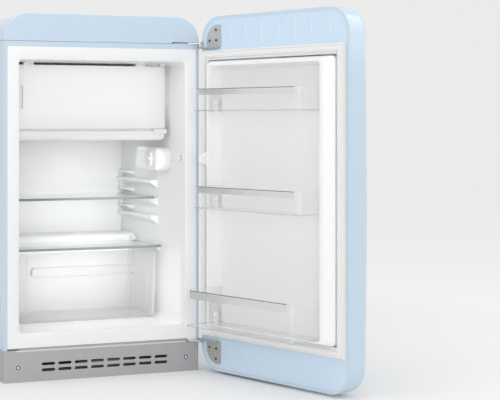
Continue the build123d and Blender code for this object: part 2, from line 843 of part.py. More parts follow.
def housing():
    """The thermostat housing on the right wall, open towards the wall and the lamp."""
    y0, y1 = front + housing_front + gap, front + housing_rear
    outer = housing_shape(0, y0, y1) & cavity(-fit)
    rear_edges = outer.edges().group_by(Axis.Y)[-1]
    outer = fillet(rear_edges.sort_by(Axis.X)[0], 6)
    inner = housing_shape(housing_wall, y0 - 1, y1 - housing_wall)
    bore = rod(knob_shaft_radius + running, (housing_face - 1, knob_y, knob_z),
               (housing_face + housing_wall + 1, knob_y, knob_z))
    return outer - inner - bore


def lamp_cover():
    """The translucent lamp cover that rounds off the housing's front end."""
    y0, y1 = front + lamp_front, front + housing_front
    outer = housing_shape(0, y0, y1)
    nose = outer.edges().group_by(Axis.Y)[0].sort_by(Axis.X)[0]
    outer = fillet(nose, housing_front - lamp_front - 4)
    inner = housing_shape(housing_wall, y0 + housing_wall, y1 + 1)
    nose = inner.edges().group_by(Axis.Y)[0].sort_by(Axis.X)[0]
    inner = fillet(nose, housing_front - lamp_front - 6)
    return (outer & cavity(-fit)) - inner


def thermostat():
    """The thermostat's body behind the housing's face, with a bore for the knob's shaft."""
    body = block(housing_face + 9, wall_x(housing_rear) - 1, knob_y - 17, knob_y + 17,
                 knob_z - 12, knob_z + 24)
    return body - rod(knob_shaft_radius + running, (housing_face, knob_y, knob_z),
                      (housing_face + 20, knob_y, knob_z))


def knob():
    """The thermostat knob: a fluted dial with a raised grip bar and its shaft."""
    plane = Plane(origin=(knob_x - gap, knob_y, knob_z), x_dir=(0, 1, 0), z_dir=(-1, 0, 0))
    disc = extrude(plane * Circle(knob_radius), amount=knob_height * 0.55)
    rim = disc.edges().sort_by(Axis.X)[0]
    disc = fillet(rim, 1.2)
    flutes = [plane * Rot(0, 0, 360 * n / knob_flutes) * Pos(knob_radius, 0, knob_height / 2)
              * Cylinder(knob_flute, knob_height + 2) for n in range(knob_flutes)]
    grip = extrude(plane * SlotOverall(2 * knob_radius - 8, 8), amount=knob_height)
    shaft = rod(knob_shaft_radius, (knob_x - 1, knob_y, knob_z), (housing_face + 18, knob_y, knob_z))
    return (disc - flutes) + grip + shaft


def lamp():
    """A small round-ended bulb under the lamp cover."""
    x, z = housing_face + 20, housing_bottom + 12
    bulb = rod(bulb_radius, (x, front + lamp_front + 14, z), (x, front + housing_front + 24, z))
    return fillet(bulb.edges().sort_by(Axis.Y)[0], bulb_radius * 0.8)


def lamp_holder():
    """The bulb's socket, fixed inside the housing."""
    x, z = housing_face + 20, housing_bottom + 12
    y = front + housing_front + 24 + gap
    return block(x - 9, wall_x(housing_rear) - 1, y, y + 22, housing_bottom + housing_wall + gap, z + 9)


switch_y = front + switch_depth_at


def switch_body():
    """The door switch: a slim bezel on the wall, a case behind it and a bore for the plunger."""
    bezel = block(wall_x(switch_depth_at) - 2.5, side, switch_y - 9, switch_y + 9,
                  switch_height_at - 11, switch_height_at + 11)
    bezel = bezel & cavity(-fit)
    guide_tube = rod(plunger_radius + 2, (wall_x(switch_depth_at) - 6, switch_y, switch_height_at),
                     (wall_x(switch_depth_at) - 1, switch_y, switch_height_at))
    bore = rod(plunger_radius + running, (wall_x(switch_depth_at) - 8, switch_y, switch_height_at),
               (side, switch_y, switch_height_at))
    return bezel + guide_tube - bore


def switch_plunger():
    """The door switch's sprung white pin, out while the door is open."""
    tip = wall_x(switch_depth_at) - plunger_reach
    pin = rod(plunger_radius, (tip, switch_y, switch_height_at),
              (wall_x(switch_depth_at) + liner_wall + 3, switch_y, switch_height_at))
    return fillet(pin.edges().sort_by(Axis.X)[0], plunger_radius * 0.6)


def switch_bore():
    """The hole in the liner that the plunger's tail moves in."""
    start = wall_x(switch_depth_at) - 1
    return rod(plunger_radius + 1, (start, switch_y, switch_height_at),
               (start + plunger_travel + 14, switch_y, switch_height_at))


shelf_half = wall_x(liner_depth) - 1.5
shelf_low = rail_top - shelf_rail * rail_pitch + gap


def glass_shelf():
    """The tempered glass shelf, with ground corners."""
    y0 = front + shelf_front + trim_wall
    pane = block(-shelf_half, shelf_half, y0, front + shelf_front + shelf_length,
                 shelf_low, shelf_low + glass)
    return chamfer(pane.edges().filter_by(Axis.Z), shelf_corner)


def edge_trim(y, low, thick, half):
    """A U-shaped strip clipped over the front edge of a glass pane."""
    outer = block(-half, half, y, y + trim_depth, low - trim_wall, low + thick + trim_wall)
    inner = block(-half - 1, half + 1, y + trim_wall, y + trim_depth + 1, low, low + thick)
    return outer - inner


def shelf_trim():
    """The front trim of the glass shelf, notched clear of the wall guides."""
    return edge_trim(front + shelf_front, shelf_low, glass, shelf_half - trim_notch)


cover_low = cover_top - glass
cover_half = wall_x(hump_front) - 1.5


def crisper_cover():
    """The glass pane over the crisper, resting on the side ledges and the step."""
    pane = block(-cover_half, cover_half, front + cover_front + trim_wall,
                 front + hump_front - 1, cover_low, cover_top)
    return chamfer(pane.edges().filter_by(Axis.Z), shelf_corner)


def cover_trim():
    """The front trim of the crisper cover with its two square end caps."""
    y, inner = front + cover_front, cover_half - end_cap
    trim = edge_trim(y, cover_low, glass, inner)
    for sign in (-1, 1):
        cap_block = block(sign * inner, sign * cover_half, y, y + trim_depth + 2,
                          cover_low, cover_top + end_cap_wall)
        trim += cap_block - block(sign * (inner - 1), sign * side, y + trim_wall, rear,
                                  cover_low - 1, cover_top)
    return trim


def cover_keepers():
    """Two white keepers on the step that hold the cover's rear edge down."""
    keepers = []
    for sign in (-1, 1):
        x = sign * (cover_half - keeper_inset)
        y = front + hump_front - keeper_length
        piece = block(x - keeper_half, x + keeper_half, y, y + keeper_length + hump_round,
                      cover_top + gap, cover_top + gap + keeper_rise)
        piece = fillet(piece.edges().filter_by(Axis.X).group_by(Axis.Z)[-1].sort_by(Axis.Y)[0], 6)
        keepers += (piece & cavity(-fit)).solids()
    return Compound(keepers)


def drawer_form(inset, high, y_in):
    """The crisper drawer's outer form: wider at the top, its walls moved in by inset."""
    y0, y1 = front + drawer_front + y_in, front + hump_front - 3 - inset
    low = opening_bottom + gap + inset
    mid = (y0 + y1) / 2
    bottom = Plane((0, mid, low)) * RectangleRounded(
        2 * (drawer_half_bottom - inset), y1 - y0, drawer_corner - inset)
    top = Plane((0, mid, high)) * RectangleRounded(
        2 * (drawer_half_top - inset), y1 - y0, drawer_corner - inset)
    return loft([bottom, top])


def crisper_drawer():
    """The clear crisper drawer, with a recessed pull across its front and ribs on its corners."""
    outer = drawer_form(0, drawer_top, 0)
    shell = outer - drawer_form(drawer_wall, drawer_top + 0.01, drawer_wall)
    y0 = front + drawer_front
    pocket = block(-pull_half, pull_half, y0 - 1, y0 + pull_depth, pull_top - pull_height, pull_top)
    pocket = fillet(pocket.edges().filter_by(Axis.Y), pull_corner)
    wall = block(-pull_half - drawer_wall, pull_half + drawer_wall, y0, y0 + pull_depth + drawer_wall,
                 pull_top - pull_height - drawer_wall, pull_top + drawer_wall)
    wall = fillet(wall.edges().filter_by(Axis.Y), pull_corner + drawer_wall)
    body = shell + (wall & outer)
    for inset in drawer_ribs:
        for x in (drawer_half_top - inset, inset - drawer_half_top):
            rib = block(x - 2, x + 2, y0 + drawer_wall - 0.5, y0 + drawer_wall + 3,
                        opening_bottom + drawer_rib_end, drawer_top - drawer_rib_end)
            body = body + (rib & outer)
    return body - pocket


# ---- hinges -------------------------------------------------------------------------------------

def hinge_arm(z0, z1):
    """A cabinet hinge arm in plan: a screwed foot, and a round end at the pin."""
    pin_y = front - hinge_ahead
    root = flange_half - 3
    plan = [(side - bracket_far + 6, front + 8), (side - bracket_far + 6, front + 70),
            (root, front + 70), (root, front - 1), (side, pin_y + knuckle_radius),
            (side + 4, pin_y + 3), (side + 4, pin_y - 3), (side - 5, pin_y - knuckle_radius + 1),
            (side - 32, front + 1), (side - 32, front + 8)]
    arm = flat_plate(plan, z0, z1) + rod(knuckle_radius, (side, pin_y, z0), (side, pin_y, z1))
    holes = [rod(screw_radius + fit, (x, y, z0 - 1), (x, y, z1 + 1)) for x, y in arm_screw_places()]
    return pin_holes(arm - holes, pin_radius + rivet_fit)


def arm_screw_places():
    """Where three screws hold each hinge arm to the cabinet."""
    x0, x1 = side - bracket_far + 18, flange_half - 14
    return [(x0, front + 28), (x1, front + 28), ((x0 + x1) / 2, front + 56)]


def upper_arm():
    """The upper hinge arm, lying on the cabinet's top under the cap."""
    return hinge_arm(body_top, body_top + arm_thick)


def lower_arm():
    """The lower hinge arm, under the base pan, passing out over the plinth."""
    return hinge_arm(body_bottom - arm_thick, body_bottom)


leaf_top_z = body_top - 8.7
leaf_bottom_z = body_bottom + 1.5


def hinge_spacer():
    """The small white filler between the lower hinge arm and the liner's flange."""
    piece = block(opening_half + 5.5, flange_half, front, front + liner_wall + bevel_depth,
                  body_bottom, flange_bottom - fit)
    return fillet(piece.edges().filter_by(Axis.X).group_by(Axis.Y)[0].sort_by(Axis.Z)[-1], 1)


def hinge_pins():
    """The two hinge pins, riveted in the cabinet's arms with domed heads."""
    pin_y = front - hinge_ahead
    head = pin_radius + 2.2
    upper = rod(pin_radius, (side, pin_y, leaf_top_z - leaf_thick - 1.5), (side, pin_y, body_top))
    dome_up = rod(head, (side, pin_y, body_top + arm_thick), (side, pin_y, body_top + arm_thick + 3))
    dome_up = fillet(dome_up.edges().sort_by(Axis.Z)[-1], 2)
    upper = upper + rod(pin_radius, (side, pin_y, body_top - 1),
                        (side, pin_y, body_top + arm_thick + 1)) + dome_up
    low = body_bottom - arm_thick
    lower = rod(pin_radius, (side, pin_y, low - 1), (side, pin_y, leaf_bottom_z + leaf_thick + 1.5))
    dome_down = rod(head, (side, pin_y, low - 3), (side, pin_y, low))
    dome_down = fillet(dome_down.edges().sort_by(Axis.Z)[0], 2)
    return Compound([upper, lower + dome_down])


def pin_holes(shape, radius):
    """The shape with a vertical bore on the hinge axis."""
    pin_y = front - hinge_ahead
    return shape - rod(radius, (side, pin_y, 0), (side, pin_y, cabinet_height))


def bracket(low, leaf_low, flip):
    """A door hinge bracket: a plate that follows the door's corner and a leaf folded out to the pin."""
    plate = door_block(bracket_near, bracket_far, seal_gap - leaf_thick, seal_gap, low,
                       low + bracket_height)
    ends = plate.edges().filter_by(Axis.Y).group_by(Axis.Z)
    outer_end = ends[0] if flip else ends[-1]
    plate = fillet(outer_end.sort_by(Axis.X)[-1], corner_radius - bracket_near)
    plate = fillet(plate.edges().filter_by(Axis.Y).group_by(Axis.X)[0], bracket_round)
    pin_y = front - hinge_ahead
    leaf = block(side - bracket_far + bracket_round, side, inner_face, pin_y + knuckle_radius, leaf_low,
                 leaf_low + leaf_thick)
    leaf = leaf + rod(knuckle_radius, (side, pin_y, leaf_low), (side, pin_y, leaf_low + leaf_thick))
    holes = [rod(screw_radius + fit, (x, inner_face - 1, z), (x, inner_face + leaf_thick + 1, z))
             for x, z in bracket_screw_places(low, flip)]
    return pin_holes(plate + leaf, pin_radius + bush_wall) - holes


def bracket_screw_places(low, flip):
    """Where three screws hold a door bracket, mirrored top to bottom when flip is set."""
    places = [(side - 60.5, 0.78), (side - 34.4, 0.32), (side - 61.5, 0.33)]
    return [(x, low + bracket_height * (1 - share if flip else share)) for x, share in places]


upper_bracket_low = leaf_top_z - leaf_thick
lower_bracket_low = leaf_bottom_z + leaf_thick - bracket_height


def upper_bracket():
    """The door's upper hinge bracket."""
    return opened(bracket(upper_bracket_low, leaf_top_z - leaf_thick, False))


def lower_bracket():
    """The door's lower hinge bracket, the upper one turned over."""
    return opened(bracket(lower_bracket_low, leaf_bottom_z, True))


def bushes():
    """Plastic bushes in the door brackets, flanged towards the cabinet's arms."""
    pin_y = front - hinge_ahead
    made = []
    for low, flange in ((leaf_top_z - leaf_thick, leaf_top_z),
                        (leaf_bottom_z, leaf_bottom_z - 1.2)):
        bush = rod(pin_radius + bush_wall, (side, pin_y, low), (side, pin_y, low + leaf_thick))
        collar = rod(pin_radius + bush_wall + 1.2, (side, pin_y, flange), (side, pin_y, flange + 1.2))
        made.append(pin_holes(bush + collar, pin_radius + running))
    return opened(Compound(made))


def bracket_screws():
    """Six screws that hold the two brackets to the door's end bands."""
    made = []
    for low, flip in ((upper_bracket_low, False), (lower_bracket_low, True)):
        for x, z in bracket_screw_places(low, flip):
            made.append(screw(3.6, 1.6, screw_radius, 9, (x, inner_face + leaf_thick, z), (0, -1, 0)))
    return opened(Compound(made))


def arm_screws():
    """Six screws that hold the two hinge arms to the cabinet."""
    made = []
    for x, y in arm_screw_places():
        made.append(screw(4.5, 2.4, screw_radius, arm_thick + sheet + 8,
                          (x, y, body_top + arm_thick), (0, 0, -1)))
        made.append(screw(4.5, 2.4, screw_radius, arm_thick + pan_sheet + 8,
                          (x, y, body_bottom - arm_thick), (0, 0, 1)))
    return Compound(made)


def arm_screw_bores():
    """Clearance bores for the arm screws in the cabinet's sheets and insulation."""
    bores = []
    for x, y in arm_screw_places():
        bores.append(rod(screw_radius + fit, (x, y, body_top - sheet - 10), (x, y, body_top + 1)))
        bores.append(rod(screw_radius + fit, (x, y, body_bottom - 1),
                         (x, y, body_bottom + pan_sheet + 10)))
    return bores


def bracket_screw_bores():
    """Clearance bores for the bracket screws in the closed door's bands and insulation."""
    bores = []
    for low, flip in ((upper_bracket_low, False), (lower_bracket_low, True)):
        for x, z in bracket_screw_places(low, flip):
            bores.append(rod(screw_radius + fit, (x, inner_face - 10, z), (x, inner_face + 1, z)))
    return bores


# ---- door ---------------------------------------------------------------------------------------

def door_form(inset):
    """The closed door's outer form with its handle bores: rounded, crowned both ways, inset all round."""
    middle = (door_bottom + door_top) / 2
    crest = inner_face - door_edge - crown_across + inset
    slab = prism(side - inset, door_bottom + inset, door_top - inset, corner_radius - inset,
                 crest - 10, inner_face - inset)
    half = side + 5
    sag = crown_across * (half / side) ** 2
    back = inner_face + 5
    bow = ThreePointArc((-half, crest + sag), (0, crest), (half, crest + sag))
    ends = Polyline((half, crest + sag), (half, back), (-half, back), (-half, crest + sag))
    face = Plane.XY.offset(middle) * make_face([bow, ends])
    tall = (door_top - door_bottom) / 2
    radius = (tall ** 2 + crown_up ** 2) / (2 * crown_up)
    axis = Axis((0, crest + radius, middle), (1, 0, 0))
    angle = math.degrees(math.asin((tall + 10) / radius))
    crown = revolve(face, axis, revolution_arc=2 * angle).rotate(axis, -angle)
    form = (slab & crown) - handle_bores()
    rim = form.edges().filter_by(lambda e: e.center().Y < inner_face - 0.6 * door_edge
                                 and e.length > door_round)
    return fillet(rim, door_round - inset)


def door_skin():
    """The door's painted outer skin: crowned shell with a return round its inner face."""
    inset = return_width
    window = prism(side - inset, door_bottom + inset, door_top - inset, corner_radius - inset,
                   inner_face - door_skin_wall - 1, inner_face + 1)
    return opened(door_form(0) - door_form(door_skin_wall) - window)


def dyke_form(inset, sink):
    """The liner's raised ridge as a solid block: its foot, its sloping flanks and its flat top."""
    top = front + dyke_rise - inset
    foot_y = front - 2
    foot_half, foot_low, foot_high = (side - dyke_foot - inset, opening_bottom + dyke_low + inset,
                                      opening_top - dyke_high - inset)
    foot = prism(foot_half, foot_low, foot_high, 14 - inset, inner_face - sink, foot_y)
    slope = loft([outline(foot_half, foot_low, foot_high, 14 - inset, foot_y),
                  outline(side - dyke_outer - inset, foot_low + ridge_low, foot_high - ridge_high,
                          10 - inset, top)])
    return foot + slope


def recess_form(grow):
    """The hollow of the door's inner panel, between the ridges, its walls moved out by grow."""
    foot_low, foot_high = opening_bottom + dyke_low, opening_top - dyke_high
    mouth_low = foot_low + ridge_low + ridge_width_low
    mouth_high = foot_high - ridge_high - ridge_width_high
    mouth = outline(side - dyke_inner + grow, mouth_low - grow, mouth_high + grow,
                    recess_corner + grow, front + dyke_rise)
    floor = outline(side - dyke_floor + grow, mouth_low + recess_slope_low - grow,
                    mouth_high - recess_slope_high + grow, recess_corner + grow,
                    front - recess_depth - grow)
    return loft([floor, mouth])


def flank_u(w):
    """The inner flank's distance from the hinge edge, at a depth w forwards of the flange."""
    return dyke_inner + (dyke_floor - dyke_inner) * (w + dyke_rise) / (recess_depth + dyke_rise)


def lugs():
    """Paired lugs on the ridges' inner flanks, which the balconies hook over."""
    made = []
    for level in bin_levels:
        top = level + lug_drop
        lug = door_block(dyke_inner + 1, flank_u(0) + 6.2, -lug_width / 2, lug_width / 2,
                         top - lug_height, top)
        made += [lug, mirror(lug, Plane.YZ)]
    return made


def door_liner():
    """The door's moulded inner panel: flange, ridge, recess and balcony lugs."""
    plate = prism(side - gasket_inset - 1, gasket_low + 1, gasket_high - 1, 6,
                  inner_face - panel_wall, inner_face)
    tub = recess_form(panel_wall)
    shell = plate + dyke_form(0, panel_wall) + tub
    hollow = dyke_form(panel_wall, panel_wall + 1) - tub
    shell = shell - hollow - recess_form(0)
    for lug in lugs():
        shell = shell + (lug & recess_form(panel_wall))
    return opened(shell)


def door_core():
    """The door's insulation, filling the skin, the ridge and the space round the recess."""
    body = door_form(door_skin_wall + fit) - prism(
        side, door_bottom, door_top, corner_radius, inner_face - panel_wall, inner_face + 1)
    ridge = dyke_form(panel_wall + gap, panel_wall)
    body = body + ridge - recess_form(panel_wall + gap) - bracket_screw_bores()
    return opened(body)


def gasket():
    """The magnetic seal: a soft hollow-looking frame with a groove along its face."""
    face = front - gasket_clear
    inner_half = side - gasket_inset - gasket_width
    outer = prism(side - gasket_inset, gasket_low, gasket_high, 5, inner_face, face)
    inner = prism(inner_half, gasket_low + gasket_width, gasket_high - gasket_width, 3,
                  inner_face - 1, face + 1)
    ring = outer - inner
    groove = prism(side - gasket_inset - 8, gasket_low + 8, gasket_high - 8, 4, face - 3, face + 1)
    land = prism(side - gasket_inset - 12, gasket_low + 12, gasket_high - 12, 3, face - 4, face + 2)
    return opened(ring - (groove - land))


def band(low, high, rib_low):
    """A door end band: a coloured panel with upright ribs, inside the skin's return."""
    inset = return_width + fit
    area = prism(side - inset, door_bottom + inset, door_top - inset, corner_radius - inset,
                 inner_face - panel_wall, inner_face)
    panel = area & block(-side, side, inner_face - panel_wall - 1, inner_face + 1, low, high)
    for n in range(rib_count):
        x = side - rib_first - n * rib_pitch
        rib = rod(rib_radius, (x, inner_face - rib_radius + rib_rise, rib_low),
                  (x, inner_face - rib_radius + rib_rise, rib_low + rib_length))
        rib = fillet(rib.edges().filter_by(GeomType.CIRCLE), rib_radius * 0.45)
        panel = panel + (rib & block(-side, side, inner_face - panel_wall, front, low, high))
    return opened(panel - bracket_screw_bores())


def top_band():
    """The upper end band of the door."""
    return band(gasket_high - 1 + fit, door_top, door_top - rib_margin - 13)


def bottom_band():
    """The lower end band of the door."""
    return band(door_bottom, gasket_low + 1 - fit, door_bottom + rib_margin + 13 - rib_length)


def actuator():
    """The wedge on the ridge that presses the door switch as the door closes."""
    u0 = opening_margin + plunger_reach - plunger_travel + 1.2
    tip = -(switch_depth_at + 14)
    points = [(0, switch_height_at - 22), (0, switch_height_at + 22),
              (-tip, switch_height_at + 8), (-tip, switch_height_at - 8)]
    wedge = extrude(Plane(origin=(side - u0, front, 0), x_dir=(0, 1, 0), z_dir=(1, 0, 0))
                    * make_face(Polyline(*points, close=True)), amount=-9)
    wedge = chamfer(wedge.edges().group_by(Axis.Y)[-1].filter_by(Axis.Z), 2)
    return opened(wedge - dyke_form(0, panel_wall))


def balcony(level, height, reach, drop):
    """A clear door balcony, open on top, notched at its sides to hook over the lugs."""
    back = recess_depth - bin_clear
    inner_u = flank_u(back) + bin_clear
    knee = -dyke_rise + 2
    half_front, half_back = side - bin_inset, side - inner_u

    def tub(inset, z0, z1):
        corners = [(-half_front + inset, front - knee), (-half_front + inset, front + reach - inset),
                   (half_front - inset, front + reach - inset), (half_front - inset, front - knee),
                   (half_back - inset, front - back + inset), (-half_back + inset, front - back + inset)]
        solid = flat_plate(corners, z0, z1)
        solid = fillet(solid.edges().filter_by(Axis.Z).group_by(Axis.Y)[-1], bin_nose - inset)
        return fillet(solid.faces().sort_by(Axis.Z)[0].edges(), bin_foot - inset)

    shell = tub(0, level, level + height) - tub(bin_wall, level + bin_wall, level + height + 1)
    shell = shell - balcony_strip_form(level, height, reach, drop, strip_fit)
    lug_top = level + lug_drop + gap
    for sign in (-1, 1):
        x0, x1 = side - flank_u(0) - 6.2 - gap, side
        notch = block(sign * x0, sign * x1, front - lug_width / 2 - 1, front + lug_width / 2 + 1,
                      level - 1, lug_top)
        shell = shell - notch
    return shell


def balcony_strip_form(level, height, reach, drop, grow):
    """The metal strip's form on a balcony's front: a plate, a top and a short inner lip."""
    half = side - rail_inset
    top = level + height
    face = block(-half - grow, half + grow, front + reach - strip_wall - grow, front + reach + grow,
                 top - drop - grow, top + grow)
    lip = block(-half - grow, half + grow, front + reach - strip_lip, front + reach,
                top - strip_wall - grow, top + grow)
    return face + lip


def handle_places():
    """The heights of the handle's two posts."""
    return [handle_low + post_inset, handle_low + handle_length - post_inset]


def handle_x():
    """The handle stands inboard of the door's free edge."""
    return -side + handle_inset


def door_front_y():
    """The door's outer face at the handle."""
    share = (handle_x() / side) ** 2
    return inner_face - door_edge - crown_across * (1 - share)


def handle_bores():
    """Bores in the door's skin and insulation for the handle's studs."""
    y = door_front_y()
    return [rod(screw_radius + fit, (handle_x(), y - 15, z), (handle_x(), y + 22, z))
            for z in handle_places()]


def handle():
    """The bar handle: a bowed chrome bar on two posts, with studs into the door."""
    x, y = handle_x(), door_front_y()
    out = y - handle_stand
    middle = handle_low + handle_length / 2
    tip = out + handle_bow
    arc = ThreePointArc((x, tip, handle_low), (x, out, middle), (x, tip, handle_low + handle_length))
    start = Plane(origin=(x, tip, handle_low), z_dir=arc % 0)
    body = sweep(start * Circle(handle_radius), path=arc)
    for z in (handle_low, handle_low + handle_length):
        body += Pos(x, tip, z) * Sphere(handle_radius)
    for z in handle_places():
        body = body + rod(handle_radius * 0.75, (x, out + 6, z), (x, y - 4, z))
        body = body + rod(screw_radius, (x, y - 6, z), (x, y + 18, z))
    return opened(body)


def handle_feet():
    """Round escutcheons between the handle's posts and the door."""
    x, y = handle_x(), door_front_y()
    made = []
    for z in handle_places():
        foot = rod(handle_foot, (x, y - 4 - gap - 2, z), (x, y + 6, z))
        foot = foot - rod(handle_radius * 0.75 + running, (x, y - 30, z), (x, y - 4 + 0.01, z))
        foot = foot - rod(screw_radius + fit, (x, y - 30, z), (x, y + 30, z))
        made.append(foot - door_form(-0.05))
    return opened(Compound([s for m in made for s in m.solids()]))


# ---- what goes to the STEP files ---------------------------------------------------------------

nodes = {}
nodes["outer_wrapper"] = wrapper() - arm_screw_bores()
nodes["top_cap"] = cap()
nodes["insulation"] = foam() - arm_screw_bores() - switch_bore() - drain_place(fit)
nodes["inner_liner"] = liner() - switch_bore() - drain_place(fit)
nodes["compressor_bay_panel"] = bay_panel() - drain_place(fit)
nodes["back_panel"] = back_panel()
nodes["base_frame"] = base_frame() - arm_screw_bores()
nodes["plinth"] = plinth()
nodes["plinth_screws"] = plinth_screws()
nodes["levelling_feet"] = feet()
nodes["compressor"] = compressor()
nodes["relay_box"] = relay_box()
nodes["evaporation_pan"] = drip_pan()
nodes["condenser"] = condenser()
nodes["refrigerant_tubes"] = refrigerant_tubes()
nodes["drain_spout"] = drain_spout()
nodes["ice_box"] = icebox()
nodes["ice_box_hangers"] = hangers()
nodes["melt_tray"] = melt_tray()
nodes["tray_clips"] = tray_clips()
nodes["ice_box_flap"] = flap()
nodes["flap_pivots"] = flap_pivots()
nodes["thermostat_housing"] = housing()
nodes["thermostat"] = thermostat()
nodes["thermostat_knob"] = knob()
nodes["lamp_cover"] = lamp_cover()
nodes["lamp_bulb"] = lamp()
nodes["lamp_holder"] = lamp_holder()
nodes["door_switch"] = switch_body()
nodes["switch_plunger"] = switch_plunger()
nodes["glass_shelf"] = glass_shelf()
nodes["shelf_trim"] = shelf_trim()
nodes["crisper_cover"] = crisper_cover()
nodes["cover_trim"] = cover_trim()
nodes["cover_keepers"] = cover_keepers()
nodes["crisper_drawer"] = crisper_drawer()
nodes["upper_hinge_arm"] = upper_arm()
nodes["lower_hinge_arm"] = lower_arm()
nodes["hinge_spacer"] = hinge_spacer()
nodes["hinge_pins"] = hinge_pins()
nodes["arm_screws"] = arm_screws()
nodes["upper_door_bracket"] = upper_bracket()
nodes["lower_door_bracket"] = lower_bracket()
nodes["hinge_bushes"] = bushes()
nodes["bracket_screws"] = bracket_screws()
nodes["door_skin"] = door_skin()
nodes["door_core"] = door_core()
nodes["door_liner"] = door_liner()
nodes["door_gasket"] = gasket()
nodes["door_top_band"] = top_band()
nodes["door_bottom_band"] = bottom_band()
nodes["switch_actuator"] = actuator()
for place, level in zip(("upper", "middle", "bottle"), bin_levels):
    tall = place == "bottle"
    height = bottle_height if tall else bin_height
    reach = bottle_reach if tall else bin_reach
    drop = bottle_strip_drop if tall else strip_drop
    nodes[f"{place}_balcony"] = opened(balcony(level, height, reach, drop))
    nodes[f"{place}_balcony_strip"] = opened(balcony_strip_form(level, height, reach, drop, 0))
nodes["door_handle"] = handle()
nodes["handle_feet"] = handle_feet()

for name, shape in nodes.items():
    shape = shape if isinstance(shape, (Part, Solid, Compound)) else Compound(shape)
    shape.label = name
    export_step(shape, f"parts/{name}.step")
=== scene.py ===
import json
import math

import bpy
from mathutils import Matrix, Vector


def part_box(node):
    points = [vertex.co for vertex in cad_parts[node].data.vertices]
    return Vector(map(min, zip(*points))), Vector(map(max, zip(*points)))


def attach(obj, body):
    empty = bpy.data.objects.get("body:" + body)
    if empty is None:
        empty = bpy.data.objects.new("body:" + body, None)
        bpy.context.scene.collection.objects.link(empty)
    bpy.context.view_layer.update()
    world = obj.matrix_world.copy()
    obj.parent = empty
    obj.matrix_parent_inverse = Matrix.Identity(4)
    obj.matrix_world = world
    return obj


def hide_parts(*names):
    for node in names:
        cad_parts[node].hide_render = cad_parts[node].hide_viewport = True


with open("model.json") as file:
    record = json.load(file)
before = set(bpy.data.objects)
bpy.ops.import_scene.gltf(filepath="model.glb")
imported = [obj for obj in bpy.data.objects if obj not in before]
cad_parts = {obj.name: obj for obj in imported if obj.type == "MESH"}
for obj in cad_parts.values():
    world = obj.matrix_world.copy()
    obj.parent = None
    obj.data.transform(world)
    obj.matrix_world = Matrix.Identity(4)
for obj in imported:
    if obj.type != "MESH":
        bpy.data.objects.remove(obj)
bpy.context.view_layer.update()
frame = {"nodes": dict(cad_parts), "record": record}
record = frame["record"]
bpy.ops.object.select_all(action="DESELECT")

# ---- the room ---------------------------------------------------------------------------------------
# The refrigerator stands on a plain pale floor that curves up into a wall behind it. Wide soft lamps
# light it from the front, the left, the right and above, and pale air fills the shadows. Small unseen
# lamps inside stand for the light that the white liner's walls send back and forth.
cabinet_low, cabinet_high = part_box("outer_wrapper")
cabinet_front = cabinet_low.y

floor_side, wall_height, sweep = 16, 9, 2.5
far_edge = floor_side / 2 - 0.1
bpy.ops.mesh.primitive_plane_add(size=floor_side, location=(0, 0, 0))
floor = bpy.context.object
floor.name = "studio_floor"
for edge in floor.data.edges:
    edge.select = all(floor.data.vertices[i].co.y > far_edge for i in edge.vertices)
for vertex in floor.data.vertices:
    vertex.select = vertex.co.y > far_edge
for face in floor.data.polygons:
    face.select = False
bpy.ops.object.mode_set(mode="EDIT")
bpy.ops.mesh.extrude_region_move(TRANSFORM_OT_translate={"value": (0, 0, wall_height)})
bpy.ops.object.mode_set(mode="OBJECT")
bend = floor.modifiers.new("bend", "BEVEL")
bend.width, bend.segments = sweep, 16
bpy.ops.object.modifier_apply(modifier="bend")
bpy.ops.object.shade_smooth()
floor.select_set(False)


def seen_rays(nodes, links):
    """One where the camera, a mirror or a clear piece looks at the studio, zero where it only lights."""
    seen = nodes.new("ShaderNodeLightPath")
    rays = seen.outputs["Is Camera Ray"]
    for kind in ("Is Glossy Ray", "Is Transmission Ray"):
        either = nodes.new("ShaderNodeMath")
        either.operation = "MAXIMUM"
        links.new(rays, either.inputs[0])
        links.new(seen.outputs[kind], either.inputs[1])
        rays = either.outputs[0]
    return rays


paint = bpy.data.materials.new("studio_pale")
paint.use_nodes = True
nodes, links = paint.node_tree.nodes, paint.node_tree.links
nodes["Principled BSDF"].inputs["Base Color"].default_value = (0.86, 0.86, 0.86, 1)
nodes["Principled BSDF"].inputs["Roughness"].default_value = 0.85
glow = nodes.new("ShaderNodeEmission")
glow.inputs["Color"].default_value = (0.96, 0.96, 0.96, 1)
place = nodes.new("ShaderNodeTexCoord")
reach = nodes.new("ShaderNodeVectorMath")
reach.operation = "LENGTH"
fade = nodes.new("ShaderNodeMapRange")
glow_starts, glow_full, glow_share = 0.55, 1.9, 0.7
for socket, value in (("From Min", glow_starts), ("From Max", glow_full),
                      ("To Min", 0.0), ("To Max", glow_share)):
    fade.inputs[socket].default_value = value
share = nodes.new("ShaderNodeMath")
share.operation = "MULTIPLY"
blend = nodes.new("ShaderNodeMixShader")
links.new(place.outputs["Object"], reach.inputs[0])
links.new(reach.outputs["Value"], fade.inputs["Value"])
links.new(seen_rays(nodes, links), share.inputs[0])
links.new(fade.outputs["Result"], share.inputs[1])
links.new(share.outputs[0], blend.inputs[0])
links.new(nodes["Principled BSDF"].outputs[0], blend.inputs[1])
links.new(glow.outputs[0], blend.inputs[2])
links.new(blend.outputs[0], nodes["Material Output"].inputs["Surface"])
floor.data.materials.append(paint)

